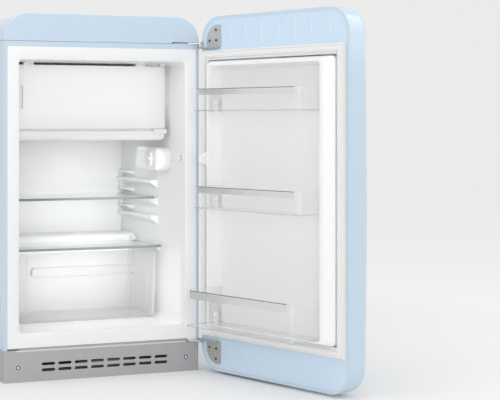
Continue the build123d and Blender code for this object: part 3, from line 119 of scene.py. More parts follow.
world = bpy.data.worlds.new("studio_air")
world.use_nodes = True
nodes, links = world.node_tree.nodes, world.node_tree.links
air = nodes["Background"]
air.inputs["Color"].default_value = (1, 0.998, 0.99, 1)
brightness = nodes.new("ShaderNodeMapRange")
air_light, air_seen = 0.6, 0.93
brightness.inputs["To Min"].default_value = air_light
brightness.inputs["To Max"].default_value = air_seen
links.new(seen_rays(nodes, links), brightness.inputs["Value"])
links.new(brightness.outputs["Result"], air.inputs["Strength"])
bpy.context.scene.world = world


def soft_lamp(name, place, target, width, height, power, spread=180, shine=True):
    """A wide lamp that faces a point, unseen by the camera and, without shine, by reflections."""
    lamp = bpy.data.lights.new(name, "AREA")
    lamp.shape, lamp.size, lamp.size_y, lamp.energy = "RECTANGLE", width, height, power
    lamp.spread = math.radians(spread)
    holder = bpy.data.objects.new(name, lamp)
    bpy.context.scene.collection.objects.link(holder)
    holder.visible_camera, holder.visible_glossy = False, shine
    holder.location = place
    holder.rotation_euler = (Vector(target) - Vector(place)).to_track_quat("-Z", "Y").to_euler()


soft_lamp("front_lamp", (-0.7, -4.0, 1.1), (0.0, 0.0, 0.5), 2.2, 2.0, 25)
soft_lamp("left_lamp", (-3.2, -1.6, 1.5), (0.3, -0.4, 0.5), 1.8, 1.8, 17)
soft_lamp("right_lamp", (2.7, -1.3, 2.0), (0.4, -0.5, 0.5), 1.8, 2.4, 23)
soft_lamp("top_lamp", (-0.4, -0.8, 3.4), (0.1, -0.1, 0.6), 2.6, 2.2, 36)
tray_low, tray_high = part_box("melt_tray")
cover_low, cover_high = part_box("crisper_cover")
mouth, aim_depth = cabinet_front + 0.03, 0.1
for name, aside, height, wide, tall, power in (
        ("flap_fill", 0.0, (tray_low.z + cabinet_high.z) / 2, 0.40, 0.16, 0.035),
        ("shelf_fill", 0.05, (tray_low.z + cover_high.z) / 2, 0.26, 0.24, 0.19),
        ("drawer_fill", 0.02, cover_low.z * 0.66, 0.42, 0.22, 0.29)):
    soft_lamp(name, (aside, mouth, height), (aside * 1.6, aim_depth, height), wide, tall, power,
              spread=80, shine=False)
lamp_gap, lamp_deep = 0.006, 0.18
for name, aside, ceiling, wide, power in (
        ("under_tray_fill", 0.08, tray_low.z, 0.25, 0.10),
        ("under_shelf_fill", 0.08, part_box("glass_shelf")[0].z, 0.25, 0.045),
        ("under_cover_fill", 0.03, cover_low.z, 0.34, 0.165)):
    soft_lamp(name, (aside, 0.0, ceiling - lamp_gap), (aside, 0.0, 0.0), wide, lamp_deep, power,
              spread=160, shine=False)

box_low, box_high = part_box("ice_box")
flap_low, flap_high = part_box("ice_box_flap")
liner_wall, behind_flap = 0.2315, flap_high.y + 0.001
beside, box_middle = (box_high.x + liner_wall) / 2, (box_low.z + box_high.z) / 2
for name, place, ahead, wide, tall, power in (
        ("over_box_fill", (0, behind_flap, box_high.z + lamp_gap), 1, 0.40, 0.008, 0.022),
        ("under_flap_fill", (0, behind_flap, (flap_low.z + tray_high.z) / 2), 1, 0.4, 0.003, 0.006),
        ("beside_box_fill", (beside, box_low.y + 0.02, box_middle), 1, 0.02, 0.15, 0.045),
        ("in_box_fill", (0, 0.03, box_high.z - 0.08), -1, 0.3, 0.08, 0.12)):
    soft_lamp(name, place, (place[0], place[1] + ahead, place[2]), wide, tall, power,
              spread=150, shine=False)

view = bpy.data.cameras.new("view")
camera = bpy.data.objects.new("view", view)
bpy.context.scene.collection.objects.link(camera)
eye_aside, eye_ahead, eye_height, eye_turn = -1.1958, 3.4899, 0.6778, -21.36
camera.location = (eye_aside, cabinet_front - eye_ahead, eye_height)
camera.rotation_euler = (math.radians(90), 0, math.radians(eye_turn))
view.sensor_width, view.lens, view.shift_x, view.shift_y = 36, 100.07, 0.1729, -0.1575
bpy.context.scene.camera = camera
bpy.context.scene.view_settings.view_transform = "Standard"

# ---- outer wrapper ----------------------------------------------------------------------------------
# One folded steel sheet makes both sides and the top, with returns round the front and the rear.
# It is stove-enamelled pale blue, with a faint orange peel under a clear gloss.
body_of = {node: body for body, nodes in record["behaviour"]["bodies"].items() for node in nodes}


class Wire:
    """An output socket of a finish, so that its maths reads as plain expressions."""

    def __init__(self, finish, socket):
        self.finish, self.socket = finish, socket

    def maths(self, operation, first, second):
        return self.finish.node("ShaderNodeMath", {"operation": operation}, {0: first, 1: second})

    def __add__(self, other):
        return self.maths("ADD", self, other)

    def __radd__(self, other):
        return self.maths("ADD", other, self)

    def __mul__(self, other):
        return self.maths("MULTIPLY", self, other)

    def __rmul__(self, other):
        return self.maths("MULTIPLY", other, self)

    def __pow__(self, other):
        return self.maths("POWER", self, other)


class Finish:
    """A material in the making: one principled shader and the nodes that feed it."""

    def __init__(self, name):
        self.material = bpy.data.materials.new(name)
        self.material.use_nodes = True
        self.tree = self.material.node_tree
        self.shader = self.tree.nodes["Principled BSDF"]
        self.place = self.node("ShaderNodeTexCoord", {}, {}, "Object")

    def feed(self, socket, value):
        if isinstance(value, Wire):
            self.tree.links.new(value.socket, socket)
        elif socket.type == "RGBA":
            socket.default_value = (*value, 1)
        else:
            socket.default_value = value

    def node(self, kind, settings, sockets, out=0):
        made = self.tree.nodes.new(kind)
        for name, value in settings.items():
            setattr(made, name, value)
        for name, value in sockets.items():
            self.feed(made.inputs[name], value)
        return Wire(self, made.outputs[out])

    def noise(self, scale, detail=2.0, stretch=(1, 1, 1), roughness=0.5):
        spread = self.node("ShaderNodeMapping", {}, {"Vector": self.place, "Scale": stretch})
        return self.node("ShaderNodeTexNoise", {}, {"Vector": spread, "Scale": scale,
                                                    "Detail": detail, "Roughness": roughness})

    def tint(self, mask, first, second):
        """The first colour where the mask is 0, the second where it is 1."""
        factor, colour_a, colour_b, result = 0, 6, 7, 2
        return self.node("ShaderNodeMix", {"data_type": "RGBA"},
                         {factor: mask, colour_a: first, colour_b: second}, result)

    def bump(self, height, distance, strength=0.3):
        return self.node("ShaderNodeBump", {}, {"Height": height, "Distance": distance,
                                                "Strength": strength})

    def set(self, **sockets):
        for socket, value in sockets.items():
            self.feed(self.shader.inputs[socket.replace("_", " ")], value)
        return self.material


def shade(colour, share):
    """A darker shade of a colour."""
    return tuple(share * part for part in colour)


def enamel(name, colour):
    """Gloss enamel over steel: a very slow colour drift, fine orange peel and a clear top layer."""
    finish = Finish(name)
    drift = finish.noise(1.5, 1)
    return finish.set(Base_Color=finish.tint(drift, shade(colour, 0.985), colour),
                      Roughness=0.26 + 0.03 * drift, Coat_Weight=0.5, Coat_Roughness=0.08,
                      Normal=finish.bump(finish.noise(260, 1), 0.00001, 0.2))


crease = math.radians(38)


def picked(piece):
    """Make one piece the active and only picked object."""
    bpy.ops.object.select_all(action="DESELECT")
    bpy.context.view_layer.objects.active = piece
    piece.select_set(True)
    return piece


def rounded(piece, width, segments=2, angle=35):
    """Round the piece's sharp edges, then shade it smooth between them."""
    picked(piece)
    if width:
        edge = piece.modifiers.new("edge", "BEVEL")
        edge.width, edge.segments, edge.use_clamp_overlap = width, segments, True
        edge.limit_method, edge.angle_limit = "ANGLE", math.radians(angle)
        bpy.ops.object.modifier_apply(modifier="edge")
    bpy.ops.object.shade_smooth_by_angle(angle=crease)
    even = piece.modifiers.new("even", "WEIGHTED_NORMAL")
    even.keep_sharp = True
    bpy.ops.object.modifier_apply(modifier="even")
    piece.select_set(False)
    return piece


def drawn_from(node, name, width, segments=2, angle=35, flat=0.6):
    """A CAD node's form as a new piece: flat areas merged into faces, then its edges rounded."""
    piece = bpy.data.objects.new(name, frame["nodes"][node].data.copy())
    bpy.context.scene.collection.objects.link(piece)
    picked(piece)
    bpy.ops.mesh.customdata_custom_splitnormals_clear()
    bpy.ops.object.mode_set(mode="EDIT")
    bpy.ops.mesh.select_all(action="SELECT")
    bpy.ops.mesh.remove_doubles(threshold=0.00001)
    bpy.ops.mesh.dissolve_limited(angle_limit=math.radians(flat))
    bpy.ops.mesh.normals_make_consistent(inside=False)
    bpy.ops.mesh.select_all(action="DESELECT")
    bpy.ops.object.mode_set(mode="OBJECT")
    return rounded(piece, width, segments, angle)


def dressed(piece, finish, body):
    """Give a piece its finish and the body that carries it."""
    piece.data.materials.clear()
    piece.data.materials.append(finish)
    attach(piece, body)
    return piece


def stands_for(piece, node, finish):
    """Show a piece in place of a CAD node, on the same body."""
    dressed(piece, finish, body_of[node])
    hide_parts(node)
    return piece


def remade(node, name, finish, width, **form):
    """A CAD node's form with its edges rounded by width, shown in its place."""
    return stands_for(drawn_from(node, name, width, **form), node, finish)


blue_enamel = enamel("pale_blue_enamel", (0.545, 0.672, 0.79))
remade("outer_wrapper", "wrapper_sheet", blue_enamel, 0.0009)

# ---- insulation, bay panel and back panel -----------------------------------------------------------
# Rigid foam fills the space between the wrapper and the liner.
# Zinc-coated sheets close it over the compressor and at the back, where six screws hold the panel.


def moulded(name, colour, rough=0.34, grain=0.00001, coat=0.0):
    """Moulded plastic: an even colour, a very fine grain and slight changes of gloss."""
    finish = Finish(name)
    cloud = finish.noise(3, 1)
    return finish.set(Base_Color=finish.tint(cloud, shade(colour, 0.985), colour),
                      Roughness=rough - 0.02 + 0.04 * cloud, Coat_Weight=coat,
                      Normal=finish.bump(finish.noise(450, 1), grain))


def metal(name, colour, rough=0.3, stretch=(1, 1, 14), metallic=1.0, contrast=0.86):
    """Metal with fine drawn lines along one direction."""
    finish = Finish(name)
    lines = finish.noise(160, 3, stretch, 0.6)
    cloud = finish.noise(20, 2)
    return finish.set(Base_Color=finish.tint(lines, shade(colour, contrast), colour), Metallic=metallic,
                      Roughness=rough - 0.05 + 0.1 * lines + 0.04 * cloud,
                      Normal=finish.bump(lines, 0.00003))


def spangled(name, colour):
    """Zinc-coated sheet with the faint crystal pattern of the coating."""
    finish = Finish(name)
    spangle = finish.node("ShaderNodeTexVoronoi", {}, {"Vector": finish.place, "Scale": 90.0}, "Color")
    grey = finish.node("ShaderNodeRGBToBW", {}, {"Color": spangle})
    return finish.set(Base_Color=finish.tint(grey, shade(colour, 0.8), colour), Metallic=0.9,
                      Roughness=0.36 + 0.14 * grey, Normal=finish.bump(finish.noise(300, 2), 0.00005))


def screw_heads(name, places, axis, radius, height):
    """Domed heads with a cross recess, one at each place, facing along axis, as one piece."""
    bpy.ops.mesh.primitive_cylinder_add(vertices=28, radius=radius, depth=height)
    head = bpy.context.object
    head.data.transform(Matrix.Translation((0, 0, height / 2)))
    dome = head.modifiers.new("dome", "BEVEL")
    dome.width, dome.segments, dome.limit_method = height * 0.62, 4, "ANGLE"
    bpy.ops.object.modifier_apply(modifier="dome")
    slit_long, slit_wide, slit_tall = radius * 1.15, radius * 0.24, height * 1.1
    for turn in (0, 90):
        bpy.ops.mesh.primitive_cube_add(size=1)
        slit = bpy.context.object
        slit.data.transform(Matrix.Translation((0, 0, height))
                            @ Matrix.Rotation(math.radians(turn), 4, "Z")
                            @ Matrix.Diagonal((slit_long, slit_wide, slit_tall, 1)))
        cut = head.modifiers.new("recess", "BOOLEAN")
        cut.operation, cut.object = "DIFFERENCE", slit
        picked(head)
        bpy.ops.object.modifier_apply(modifier="recess")
        bpy.data.objects.remove(slit)
    turned = Vector(axis).to_track_quat("Z", "Y").to_matrix().to_4x4()
    copies = []
    for place in places:
        copy = head.copy()
        copy.data = head.data.copy()
        copy.data.transform(Matrix.Translation(place) @ turned)
        bpy.context.scene.collection.objects.link(copy)
        copies.append(copy)
    bpy.data.objects.remove(head)
    picked(copies[0])
    for copy in copies:
        copy.select_set(True)
    bpy.ops.object.join()
    piece = bpy.context.object
    piece.name = name
    bpy.ops.object.shade_smooth_by_angle(angle=crease)
    piece.select_set(False)
    return piece


def kept(node, finish):
    """A CAD node whose own form is right gets a finish only."""
    frame["nodes"][node].data.materials.clear()
    frame["nodes"][node].data.materials.append(finish)


foam = moulded("rigid_foam", (0.72, 0.62, 0.36), rough=0.9, grain=0.0006)
zinc = spangled("zinc_sheet_steel", (0.56, 0.57, 0.58))
steel = metal("nickelled_steel", (0.60, 0.59, 0.57))
bright_steel = metal("bright_screw_steel", (0.82, 0.82, 0.82), rough=0.25)
kept("insulation", foam)
remade("compressor_bay_panel", "bay_sheet", zinc, 0.0003)
remade("back_panel", "back_sheet", zinc, 0.0002)
back_low, back_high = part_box("back_panel")
side_inset, end_inset = 0.012, 0.02
column = back_high.x - side_inset
rows = (back_low.z + end_inset, (back_low.z + back_high.z) / 2, back_high.z - end_inset)
back_spots = [(x, back_high.y, z) for z in rows for x in (-column, column)]
back_screws = screw_heads("back_panel_screws", back_spots, (0, 1, 0), radius=0.0042, height=0.0022)
dressed(back_screws, steel, "cabinet")

# ---- inner liner ------------------------------------------------------------------------------------
# A white polystyrene sheet, vacuum-formed into a tub with a bevelled mouth, a rear step over the
# compressor and pairs of shelf guides. Every corner is softened by the forming.
white_liner = moulded("liner_polystyrene", (0.895, 0.9, 0.905), rough=0.3)
remade("inner_liner", "liner_tub", white_liner, 0.0012, segments=3, angle=30)

# ---- base frame, kick plate and its screws ----------------------------------------------------------
# The base is black-painted sheet, whose black also stands for the shade seen through the kick plate's
# slots. The kick plate in front is painted metallic grey, with two rows of pressed slots and a bead
# along its top painted lighter for the highlight on its lip. A screw sits at each end in a dark washer
# that stands for the shade round its head.
undrawn = (1, 1, 1)
grey_paint = metal("grey_metallic_paint", (0.45, 0.45, 0.453), rough=0.4, stretch=undrawn, metallic=0.45,
                   contrast=0.93)
# A lighter grey, painted on the bead as the highlight along the kick plate's lip.
highlight_grey_paint = metal("grey_paint_painted_highlight", (0.74, 0.74, 0.743), rough=0.36, stretch=undrawn, metallic=0.35,
                     contrast=0.93)
black_paint = moulded("black_stove_paint", (0.014, 0.014, 0.015), rough=0.3, grain=0.00012, coat=0.3)
black_plastic = moulded("black_polypropylene", (0.018, 0.018, 0.019), rough=0.45)
# Painted black, which also stands for the shade seen through the kick plate's slots.
remade("base_frame", "base_sheet", black_paint, 0.0004)
remade("plinth", "kick_plate", grey_paint, 0.0005, segments=3)
plinth_low, plinth_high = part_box("plinth")
screw_low, screw_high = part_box("plinth_screws")
head_height, head_inset = 0.0022, 0.0045
kick_spots = [(x, screw_low.y + head_height, (screw_low.z + screw_high.z) / 2)
              for x in (screw_low.x + head_inset, screw_high.x - head_inset)]
kick_screws = screw_heads("kick_plate_screws", kick_spots, (0, -1, 0), radius=0.0036, height=head_height)
stands_for(kick_screws, "plinth_screws", bright_steel)


def soft_block(name, low, high, radius, segments=2):
    """A block between two corners, with every edge rounded."""
    low, high = Vector(low), Vector(high)
    bpy.ops.mesh.primitive_cube_add(size=1)
    piece = bpy.context.object
    piece.name = name
    piece.data.transform(Matrix.Translation((low + high) / 2) @ Matrix.Diagonal((*(high - low), 1)))
    return rounded(piece, radius, segments)


def joined(name, pieces):
    """Several pieces of one material as one piece."""
    picked(pieces[0])
    for piece in pieces:
        piece.select_set(True)
    bpy.ops.object.join()
    piece = bpy.context.object
    piece.name = name
    piece.select_set(False)
    return piece


def washers(name, places, axis, radius, width):
    """Thin rings that lie flat, one at each place, facing along axis, as one piece."""
    turned = Vector(axis).to_track_quat("Z", "Y").to_matrix().to_4x4()
    rings = []
    for place in places:
        bpy.ops.mesh.primitive_torus_add(major_radius=radius, minor_radius=width / 2,
                                         major_segments=32, minor_segments=8)
        ring = bpy.context.object
        ring.data.transform(Matrix.Translation(place) @ turned @ Matrix.Diagonal((1, 1, 0.5, 1)))
        bpy.ops.object.shade_smooth()
        rings.append(ring)
    return joined(name, rings)


# Dark washers, standing for the shade round each kick plate screw.
kick_shade_washers = washers("kick_plate_shade_washers", kick_spots, (0, -1, 0), radius=0.0046, width=0.0022)
dressed(kick_shade_washers, black_plastic, "cabinet")
# The bead is painted lighter for the highlight along the kick plate's lip.
bead_left, bead_right, bead_tall, bead_top = -0.24, 0.235, 0.0036, plinth_high.z - 0.0055
bead_front, bead_back = plinth_low.y - 0.0011, plinth_low.y + 0.0006
kick_highlight_bead = soft_block("kick_plate_highlight_bead", (bead_left, bead_front, bead_top - bead_tall),
                       (bead_right, bead_back, bead_top), radius=0.001, segments=4)
dressed(kick_highlight_bead, highlight_grey_paint, "cabinet")

# ---- levelling feet ---------------------------------------------------------------------------------
# Four feet are screwed into the base frame, to set the cabinet level. Each is a round black pad with
# a lock nut on a threaded stem.
remade("levelling_feet", "adjusting_feet", black_plastic, 0.0006)

# ---- compressor, relay cover and evaporation pan ----------------------------------------------------
# A black-lacquered can of two drawn shells, welded round the waist, stands on rubber grommets.
# The relay clips to its end, and the pan on top of it catches and dries the melt water.
remade("compressor", "compressor_can", black_paint, 0.0006)
remade("relay_box", "relay_cover", black_plastic, 0.0008)
remade("evaporation_pan", "melt_water_pan", black_plastic, 0.0008)

# ---- condenser, tubes and drain ---------------------------------------------------------------------
# Black-painted steel tube snakes up the back with welded wires across it. Copper tubes join it to
# the compressor, and a white spout drains the step inside the liner.
copper = metal("drawn_copper", (0.72, 0.38, 0.24), stretch=(1, 1, 6))
remade("condenser", "condenser_grid", black_paint, 0)
remade("refrigerant_tubes", "copper_tubes", copper, 0)
white_abs = moulded("white_abs", (0.86, 0.865, 0.87), rough=0.28)
remade("drain_spout", "drain_throat", white_abs, 0.0004)

# ---- top cap ----------------------------------------------------------------------------------------
# A domed cover with large round shoulders, enamelled in the wrapper's blue. It sits on the wrapper,
# with a thin joint all round.
remade("top_cap", "domed_cap", blue_enamel, 0, flat=0.02)

# ---- ice box and melt tray --------------------------------------------------------------------------
# A white-coated aluminium box, open at the front, hangs from the liner's ceiling. Under it clips hold
# a white tray that catches the melt water.
white_coat = moulded("white_coated_aluminium", (0.86, 0.865, 0.87), rough=0.36, grain=0.00003)
remade("ice_box", "evaporator_box", white_coat, 0.0005)
kept("ice_box_hangers", white_abs)
remade("melt_tray", "drip_tray", white_abs, 0.0008)
kept("tray_clips", white_abs)

# ---- ice box flap and its pivots --------------------------------------------------------------------
# The flap is moulded in white plastic and turns on a peg above and a bracket below, at its right end.
# A finger well near its left end opens it.
remade("ice_box_flap", "flap_panel", white_abs, 0.0009)
remade("flap_pivots", "flap_bearings", white_abs, 0.001)

# ---- thermostat -------------------------------------------------------------------------------------
# A white housing on the right wall covers the thermostat. Its fluted knob has a grip bar on a face
# painted grey for the shade on it, with printed figures for the settings and a small index above it.
remade("thermostat_housing", "control_housing", white_abs, 0.0014, segments=3)
kept("thermostat", black_plastic)
knob = remade("thermostat_knob", "control_knob", white_abs, 0.0005)
# The faces of the knob that look left are painted grey as the shade on its dial.
knob.data.materials.append(moulded("dial_face_painted_shade", (0.78, 0.785, 0.79), rough=0.4))
facing_share = 0.9
for face in knob.data.polygons:
    if face.normal.x < -facing_share:
        face.material_index = 1
knob_low, knob_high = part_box("thermostat_knob")
housing_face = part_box("thermostat_housing")[0].x
dial = Vector((housing_face, (knob_low.y + knob_high.y) / 2, (knob_low.z + knob_high.z) / 2))
grey_print = moulded("grey_print", (0.3, 0.31, 0.32), rough=0.4)
index_foot, index_tip, index_half, index_proud, index_sunk = 0.0245, 0.0285, 0.0006, 0.0005, 0.0003
index = soft_block("dial_index", (-index_proud, -index_half, index_foot),
                   (index_sunk, index_half, index_tip), radius=0.0002)
index.data.transform(Matrix.Translation(dial))
dressed(index, grey_print, "cabinet")
grip_rise, figure_size, figure_relief, figure_ring = 0.00495, 0.0062, 0.00012, 0.0172
facing_left = Matrix(((0, 0, -1, 0), (-1, 0, 0, 0), (0, 1, 0, 0), (0, 0, 0, 1)))
dial_face = Matrix.Translation((knob_low.x + grip_rise, dial.y, dial.z)) @ facing_left
figure_angles = (0, 45, 135, 180, 225, 315)
digits = []
for digit, angle in enumerate(figure_angles):
    bpy.ops.object.text_add()
    writing = bpy.context.object
    writing.data.body = str(digit)
    writing.data.size, writing.data.extrude = figure_size, figure_relief
    writing.data.align_x, writing.data.align_y = "CENTER", "CENTER"
    bpy.ops.object.convert(target="MESH")
    figure = bpy.context.object
    figure.data.transform(dial_face @ Matrix.Rotation(math.radians(-angle), 4, "Z")
                          @ Matrix.Translation((0, figure_ring, 0)))
    digits.append(figure)
dressed(joined("dial_figures", digits), grey_print, body_of["thermostat_knob"])

# ---- lamp -------------------------------------------------------------------------------------------
# A frosted cover with moulded flutes rounds off the housing's front end, over a small bulb. Its rear
# band, where it seats on the housing, is painted grey for the shade in the gap there, and a catch by
# the wall holds its front end.


def clear(name, colour, body, edge, rough=0.06):
    """Clear plastic or glass: seen through from the front, denser and with a painted shade seen edge on.
    """
    finish = Finish(name)
    facing = finish.node("ShaderNodeLayerWeight", {}, {"Blend": 0.35}, "Facing")
    cloud = finish.noise(30, 2)
    # Painted shade: the colour darkens where the surface is seen edge on, for light its edges bend away.
    return finish.set(Base_Color=finish.tint(facing ** 5.0, colour, shade(colour, 0.92)),
                      Alpha=body + (edge - body) * facing ** 2.0, Roughness=rough + 0.03 * cloud,
                      Normal=finish.bump(finish.noise(60, 2), 0.0001, 0.12))


frosted = moulded("frosted_lens", (0.87, 0.875, 0.87), rough=0.38)
lens = drawn_from("lamp_cover", "lamp_lens", 0.0008)
lens_low, lens_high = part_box("lamp_cover")
shade_band_depth = 0.0065
shade_band_front = lens_high.y - shade_band_depth
picked(lens)
bpy.ops.object.mode_set(mode="EDIT")
bpy.ops.mesh.select_all(action="SELECT")
bpy.ops.mesh.bisect(plane_co=(0, shade_band_front, 0), plane_no=(0, 1, 0))
bpy.ops.mesh.select_all(action="DESELECT")
bpy.ops.object.mode_set(mode="OBJECT")
lens.select_set(False)
stands_for(lens, "lamp_cover", frosted)
# The rear band of the lens is painted grey as the shade in the gap by the housing.
lens.data.materials.append(moulded("lens_band_painted_shade", (0.62, 0.625, 0.63), rough=0.45))
for face in lens.data.polygons:
    if face.center.y > shade_band_front:
        face.material_index = 1
catch_thick, catch_ahead, catch_under, catch_half = 0.0075, 0.011, 0.002, 0.005
lens_catch = soft_block("lens_catch",
                        (lens_high.x - catch_thick, lens_low.y - catch_ahead, dial.z - catch_half),
                        (lens_high.x, lens_low.y + catch_under, dial.z + catch_half),
                        radius=0.0022, segments=4)
dressed(lens_catch, frosted, "cabinet")
kept("lamp_bulb", clear("bulb_glass", (0.9, 0.92, 0.92), body=0.3, edge=0.8))
kept("lamp_holder", white_abs)

# ---- door switch ------------------------------------------------------------------------------------
# A slim white bezel on the right wall carries the sprung pin that the door pushes in. A dark collar
# at the foot of the pin's guide stands for the shade in the gap round the pin.
remade("door_switch", "switch_bezel", white_abs, 0.0006)
guide_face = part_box("door_switch")[0].x
pin_low, pin_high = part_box("switch_plunger")
guide_foot, guide_wall = guide_face + 0.0034, 0.0028
shade_collar_place = (guide_foot, (pin_low.y + pin_high.y) / 2, (pin_low.z + pin_high.z) / 2)
shade_collar_radius = (pin_high.z - pin_low.z) / 2 + guide_wall
# A dark ring, standing for the shade in the gap round the switch pin.
switch_shade_collar = washers("switch_shade_collar", [shade_collar_place], (-1, 0, 0), shade_collar_radius, width=0.002)
dressed(switch_shade_collar, black_plastic, "cabinet")
kept("switch_plunger", white_abs)

# ---- glass shelf and crisper cover ------------------------------------------------------------------
# Tempered panes with a faint green edge rest on the liner's guides. A strip is clipped over each
# front edge, painted dark grey for the shadow under the edge and the dark seen through the glass
# edge, and keepers on the step hold the lower pane down.
pane = clear("tempered_glass", (0.84, 0.90, 0.88), body=0.12, edge=0.55, rough=0.03)
for node, name in (("glass_shelf", "shelf_pane"), ("crisper_cover", "cover_pane")):
    remade(node, name, pane, 0.0007)
# The edging strips are painted dark grey as the shadow line and dark glass edge at each pane's front.
trim_shade_grey = moulded("trim_grey_painted_shade", (0.24, 0.243, 0.246), rough=0.42)
for node, name in (("shelf_trim", "shelf_edging"), ("cover_trim", "cover_edging")):
    remade(node, name, trim_shade_grey, 0.0004)
remade("cover_keepers", "pane_keepers", white_abs, 0.0004)

# ---- crisper drawer ---------------------------------------------------------------------------------
# An injection-moulded clear drawer with a recessed pull, stiffening ribs and tapered walls.
# Its upright corners are painted paler and denser as the highlights they catch, its level bends are
# painted grey as the shade where light bends through them, and its sides and floor are painted paler
# than its front for the light they get.
polystyrene = clear("clear_polystyrene", (0.95, 0.955, 0.96), body=0.035, edge=0.25)
# Painted highlight for upright corners, and painted shade for level bends.
painted_highlight_bend = clear("polystyrene_painted_corner_highlight", (0.96, 0.965, 0.97), body=0.12, edge=0.45)
painted_shade_bend = clear("polystyrene_painted_bend_shade", (0.42, 0.43, 0.44), body=0.42, edge=0.72)
flat_share, upright_share = 0.985, 0.35


def bends_shown(piece, turn=Matrix()):
    """Paint a clear piece's upright corners as highlights and its level bends as shade; turn stands it
    square.

    A face is no bend if its normal lies along an axis, and it is on an upright corner if its normal
    lies nearly level.
    """
    piece.data.materials.append(painted_highlight_bend)
    piece.data.materials.append(painted_shade_bend)
    for face in piece.data.polygons:
        sides = [abs(part) for part in turn.to_3x3() @ face.normal]
        if max(sides) < flat_share:
            face.material_index = 1 if sides[2] < upright_share else 2


tub = remade("crisper_drawer", "drawer_tub", polystyrene, 0.0006)
bends_shown(tub)
# The drawer's sides and floor are painted paler and denser for the light they get.
tub.data.materials.append(clear("polystyrene_painted_pale_side", (0.96, 0.965, 0.97), body=0.4, edge=0.6))
for face in tub.data.polygons:
    if abs(face.normal.x) > flat_share or face.normal.z > flat_share:
        face.material_index = 3

# ---- hinge arms, pins and screws --------------------------------------------------------------------
# Nickelled steel arms, screwed to the cabinet's top and base, hold the riveted pins that the door
# turns on. A small white filler closes the gap above the lower arm.
for node in ("upper_hinge_arm", "lower_hinge_arm", "hinge_pins"):
    remade(node, node.replace("hinge", "pivot"), steel, 0.0005, segments=3)
kept("arm_screws", steel)
remade("hinge_spacer", "arm_filler", white_abs, 0.0004)

# ---- door skin --------------------------------------------------------------------------------------
# One drawn steel shell, crowned both ways, with a large round rim and a return round its inner face.
# It has the wrapper's blue enamel, and rigid foam fills it.
remade("door_skin", "crowned_skin", blue_enamel, 0, flat=0.02)
kept("door_core", foam)

# ---- end bands --------------------------------------------------------------------------------------
# Panels moulded in blue plastic close the door above and below the liner. A row of upright ribs
# stiffens each of them.
blue_abs = enamel("pale_blue_abs", (0.60, 0.74, 0.88))
for node in ("door_top_band", "door_bottom_band"):
    remade(node, node.replace("door", "ribbed"), blue_abs, 0.0003, flat=0.02)

# ---- door liner -------------------------------------------------------------------------------------
# A white polystyrene panel, vacuum-formed with a raised ridge all round, a deep recess and lugs for
# the balconies. A small wedge on it pushes the lamp's switch in.
remade("door_liner", "ridged_panel", white_liner, 0.0014, segments=3, angle=30)
remade("switch_actuator", "switch_wedge", white_liner, 0.0006)

# ---- door seal --------------------------------------------------------------------------------------
# A soft white magnetic seal: a bellows, a flat magnet band between two grooves and a low inner lip,
# with mitred corners. It is drawn on the closed door and swung open with it.
hinge_joint = next(joint for joint in record["behaviour"]["joints"] if joint["name"] == "door_hinge")
hinge_place = Vector(hinge_joint["pos_m"])
open_angle = math.radians(-hinge_joint["range_deg"][0])
swing = (Matrix.Translation(hinge_place) @ Matrix.Rotation(open_angle, 4, "Z")
         @ Matrix.Translation(-hinge_place))


def swung_back(node):
    """The corners of a door node's box once the door is closed."""
    closed = swing.inverted()
    places = [closed @ vertex.co for vertex in frame["nodes"][node].data.vertices]
    return (Vector(min(p[i] for p in places) for i in range(3)),
            Vector(max(p[i] for p in places) for i in range(3)))


seal_low, seal_high = swung_back("door_gasket")
shoulder = 0.0046
# The width and the rise of each step of the seal's section, from its outer edge inwards.
seal_steps = [(0.0012, shoulder), (0.0028, 0.0), (0.0005, -0.0016), (0.0012, 0.0), (0.0005, 0.0016),
              (0.0090, 0.0), (0.0005, -0.0016), (0.0012, 0.0), (0.0005, 0.0016), (0.0014, 0.0),
              (0.0008, -0.0060), (0.0063, 0.0), (0.0006, -0.0075)]
bpy.ops.mesh.primitive_plane_add(size=1)
seal = bpy.context.object
seal.name = "magnetic_seal"
seal_size = seal_high - seal_low
seal_middle = ((seal_low.x + seal_high.x) / 2, seal_low.y, (seal_low.z + seal_high.z) / 2)
seal.data.transform(Matrix.Translation(seal_middle) @ Matrix.Rotation(math.radians(-90), 4, "X")
                    @ Matrix.Diagonal((seal_size.x, seal_size.z, 1, 1)))
bpy.ops.object.mode_set(mode="EDIT")
bpy.ops.mesh.select_all(action="SELECT")
bpy.ops.mesh.extrude_region_move(TRANSFORM_OT_translate={"value": (0, seal_size.y - shoulder, 0)})
for width, rise in seal_steps:
    bpy.ops.mesh.inset(thickness=width, depth=rise)
bpy.ops.mesh.delete(type="FACE")
bpy.ops.object.mode_set(mode="OBJECT")
seal.data.transform(swing)
soft_white = moulded("soft_seal", (0.82, 0.82, 0.815), rough=0.5)
stands_for(rounded(seal, 0.0003), "door_gasket", soft_white)
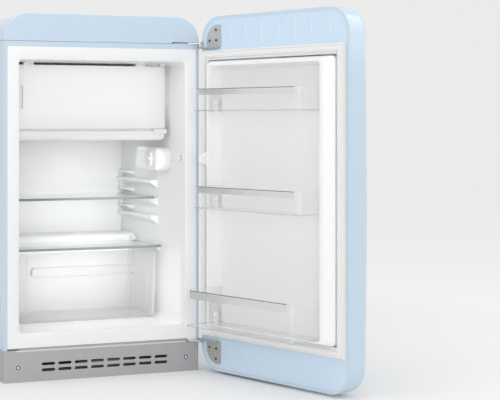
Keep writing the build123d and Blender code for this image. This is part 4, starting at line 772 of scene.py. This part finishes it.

# ---- door brackets, bushes and screws ---------------------------------------------------------------
# Quarter-round satin plates, folded out to the pins, hold the door by three screws each, whose heads
# are painted dark for the shade in and round their recesses. A bright rivet sits by each fold.
satin_steel = metal("satin_bracket_steel", (0.58, 0.565, 0.54), rough=0.38, stretch=(1, 1, 6),
                    metallic=0.7)
for node in ("upper_door_bracket", "lower_door_bracket"):
    remade(node, node.replace("bracket", "leaf"), satin_steel, 0.0004, segments=3)
kept("hinge_bushes", black_plastic)
upper_low, upper_high = swung_back("upper_door_bracket")
lower_low, lower_high = swung_back("lower_door_bracket")
head_height = 0.0016
leaf_face = swung_back("bracket_screws")[1].y - head_height
leaves = ((upper_low.z, upper_high.z - upper_low.z), (lower_high.z, lower_low.z - lower_high.z))
bracket_spots = [(hinge_place.x - from_pin, leaf_face, corner + rise * share)
                 for from_pin, share in ((0.0605, 0.78), (0.0344, 0.32), (0.0615, 0.33))
                 for corner, rise in leaves]
# Screw steel painted dark as the shade in and round the heads' recesses.
screw_shade_steel = metal("screw_steel_painted_shade", (0.13, 0.125, 0.12), rough=0.35)
door_screws = screw_heads("bracket_screw_heads", bracket_spots, (0, 1, 0), radius=0.0036,
                          height=head_height)
door_screws.data.transform(swing)
stands_for(door_screws, "bracket_screws", screw_shade_steel)
rivet_aside, rivet_inset = 0.0055, 0.0052
rivet_spots = [(upper_low.x + rivet_aside, leaf_face, z)
               for z in (upper_low.z + rivet_inset, lower_high.z - rivet_inset)]
rivets = washers("bracket_rivets", rivet_spots, (0, 1, 0), radius=0.0011, width=0.0024)
rivets.data.transform(swing)
dressed(rivets, bright_steel, "door")

# ---- balconies --------------------------------------------------------------------------------------
# Clear moulded door balconies hook over the liner's lugs; their upright corners and level bends are
# painted as highlights and shade. A bright metal strip is pressed over each front, with a bead along
# its top painted dark grey for the dark reflection along the strip's upper edge.
strip_metal = metal("bright_aluminium", (0.80, 0.797, 0.793), rough=0.16, stretch=(14, 14, 1),
                    metallic=0.9)
# Dark grey, painted on the beads as the reflection along each strip's top edge.
reflection_grey = moulded("painted_reflection_grey", (0.16, 0.16, 0.163), rough=0.35)
bead_deep, bead_tall, bead_proud = 0.0012, 0.0019, 0.0005
for place in ("upper", "middle", "bottle"):
    node = f"{place}_balcony"
    # The bins' upright corners and level bends get the painted highlight and shade too.
    bends_shown(remade(node, f"{place}_bin", polystyrene, 0.0006), swing.inverted())
    strip_low, strip_high = swung_back(f"{node}_strip")
    remade(f"{node}_strip", f"{place}_bin_strip", strip_metal, 0.0003)
    bead = soft_block(f"{place}_bin_reflection_bead",
                      (strip_low.x, strip_high.y - bead_deep, strip_high.z - bead_tall),
                      (strip_high.x, strip_high.y + bead_proud, strip_high.z), radius=0.0005)
    bead.data.transform(swing)
    dressed(bead, reflection_grey, body_of[f"{node}_strip"])

# ---- handle -----------------------------------------------------------------------------------------
# A bowed bar of polished chrome stands upright on the door's outer face, by the edge that swings. It
# has two posts, with a round foot under each.
chrome = metal("polished_chrome", (0.72, 0.72, 0.72), rough=0.12, stretch=(1, 1, 2))
for node, name in (("door_handle", "handle_bar"), ("handle_feet", "post_rosettes")):
    remade(node, name, chrome, 0.0004)
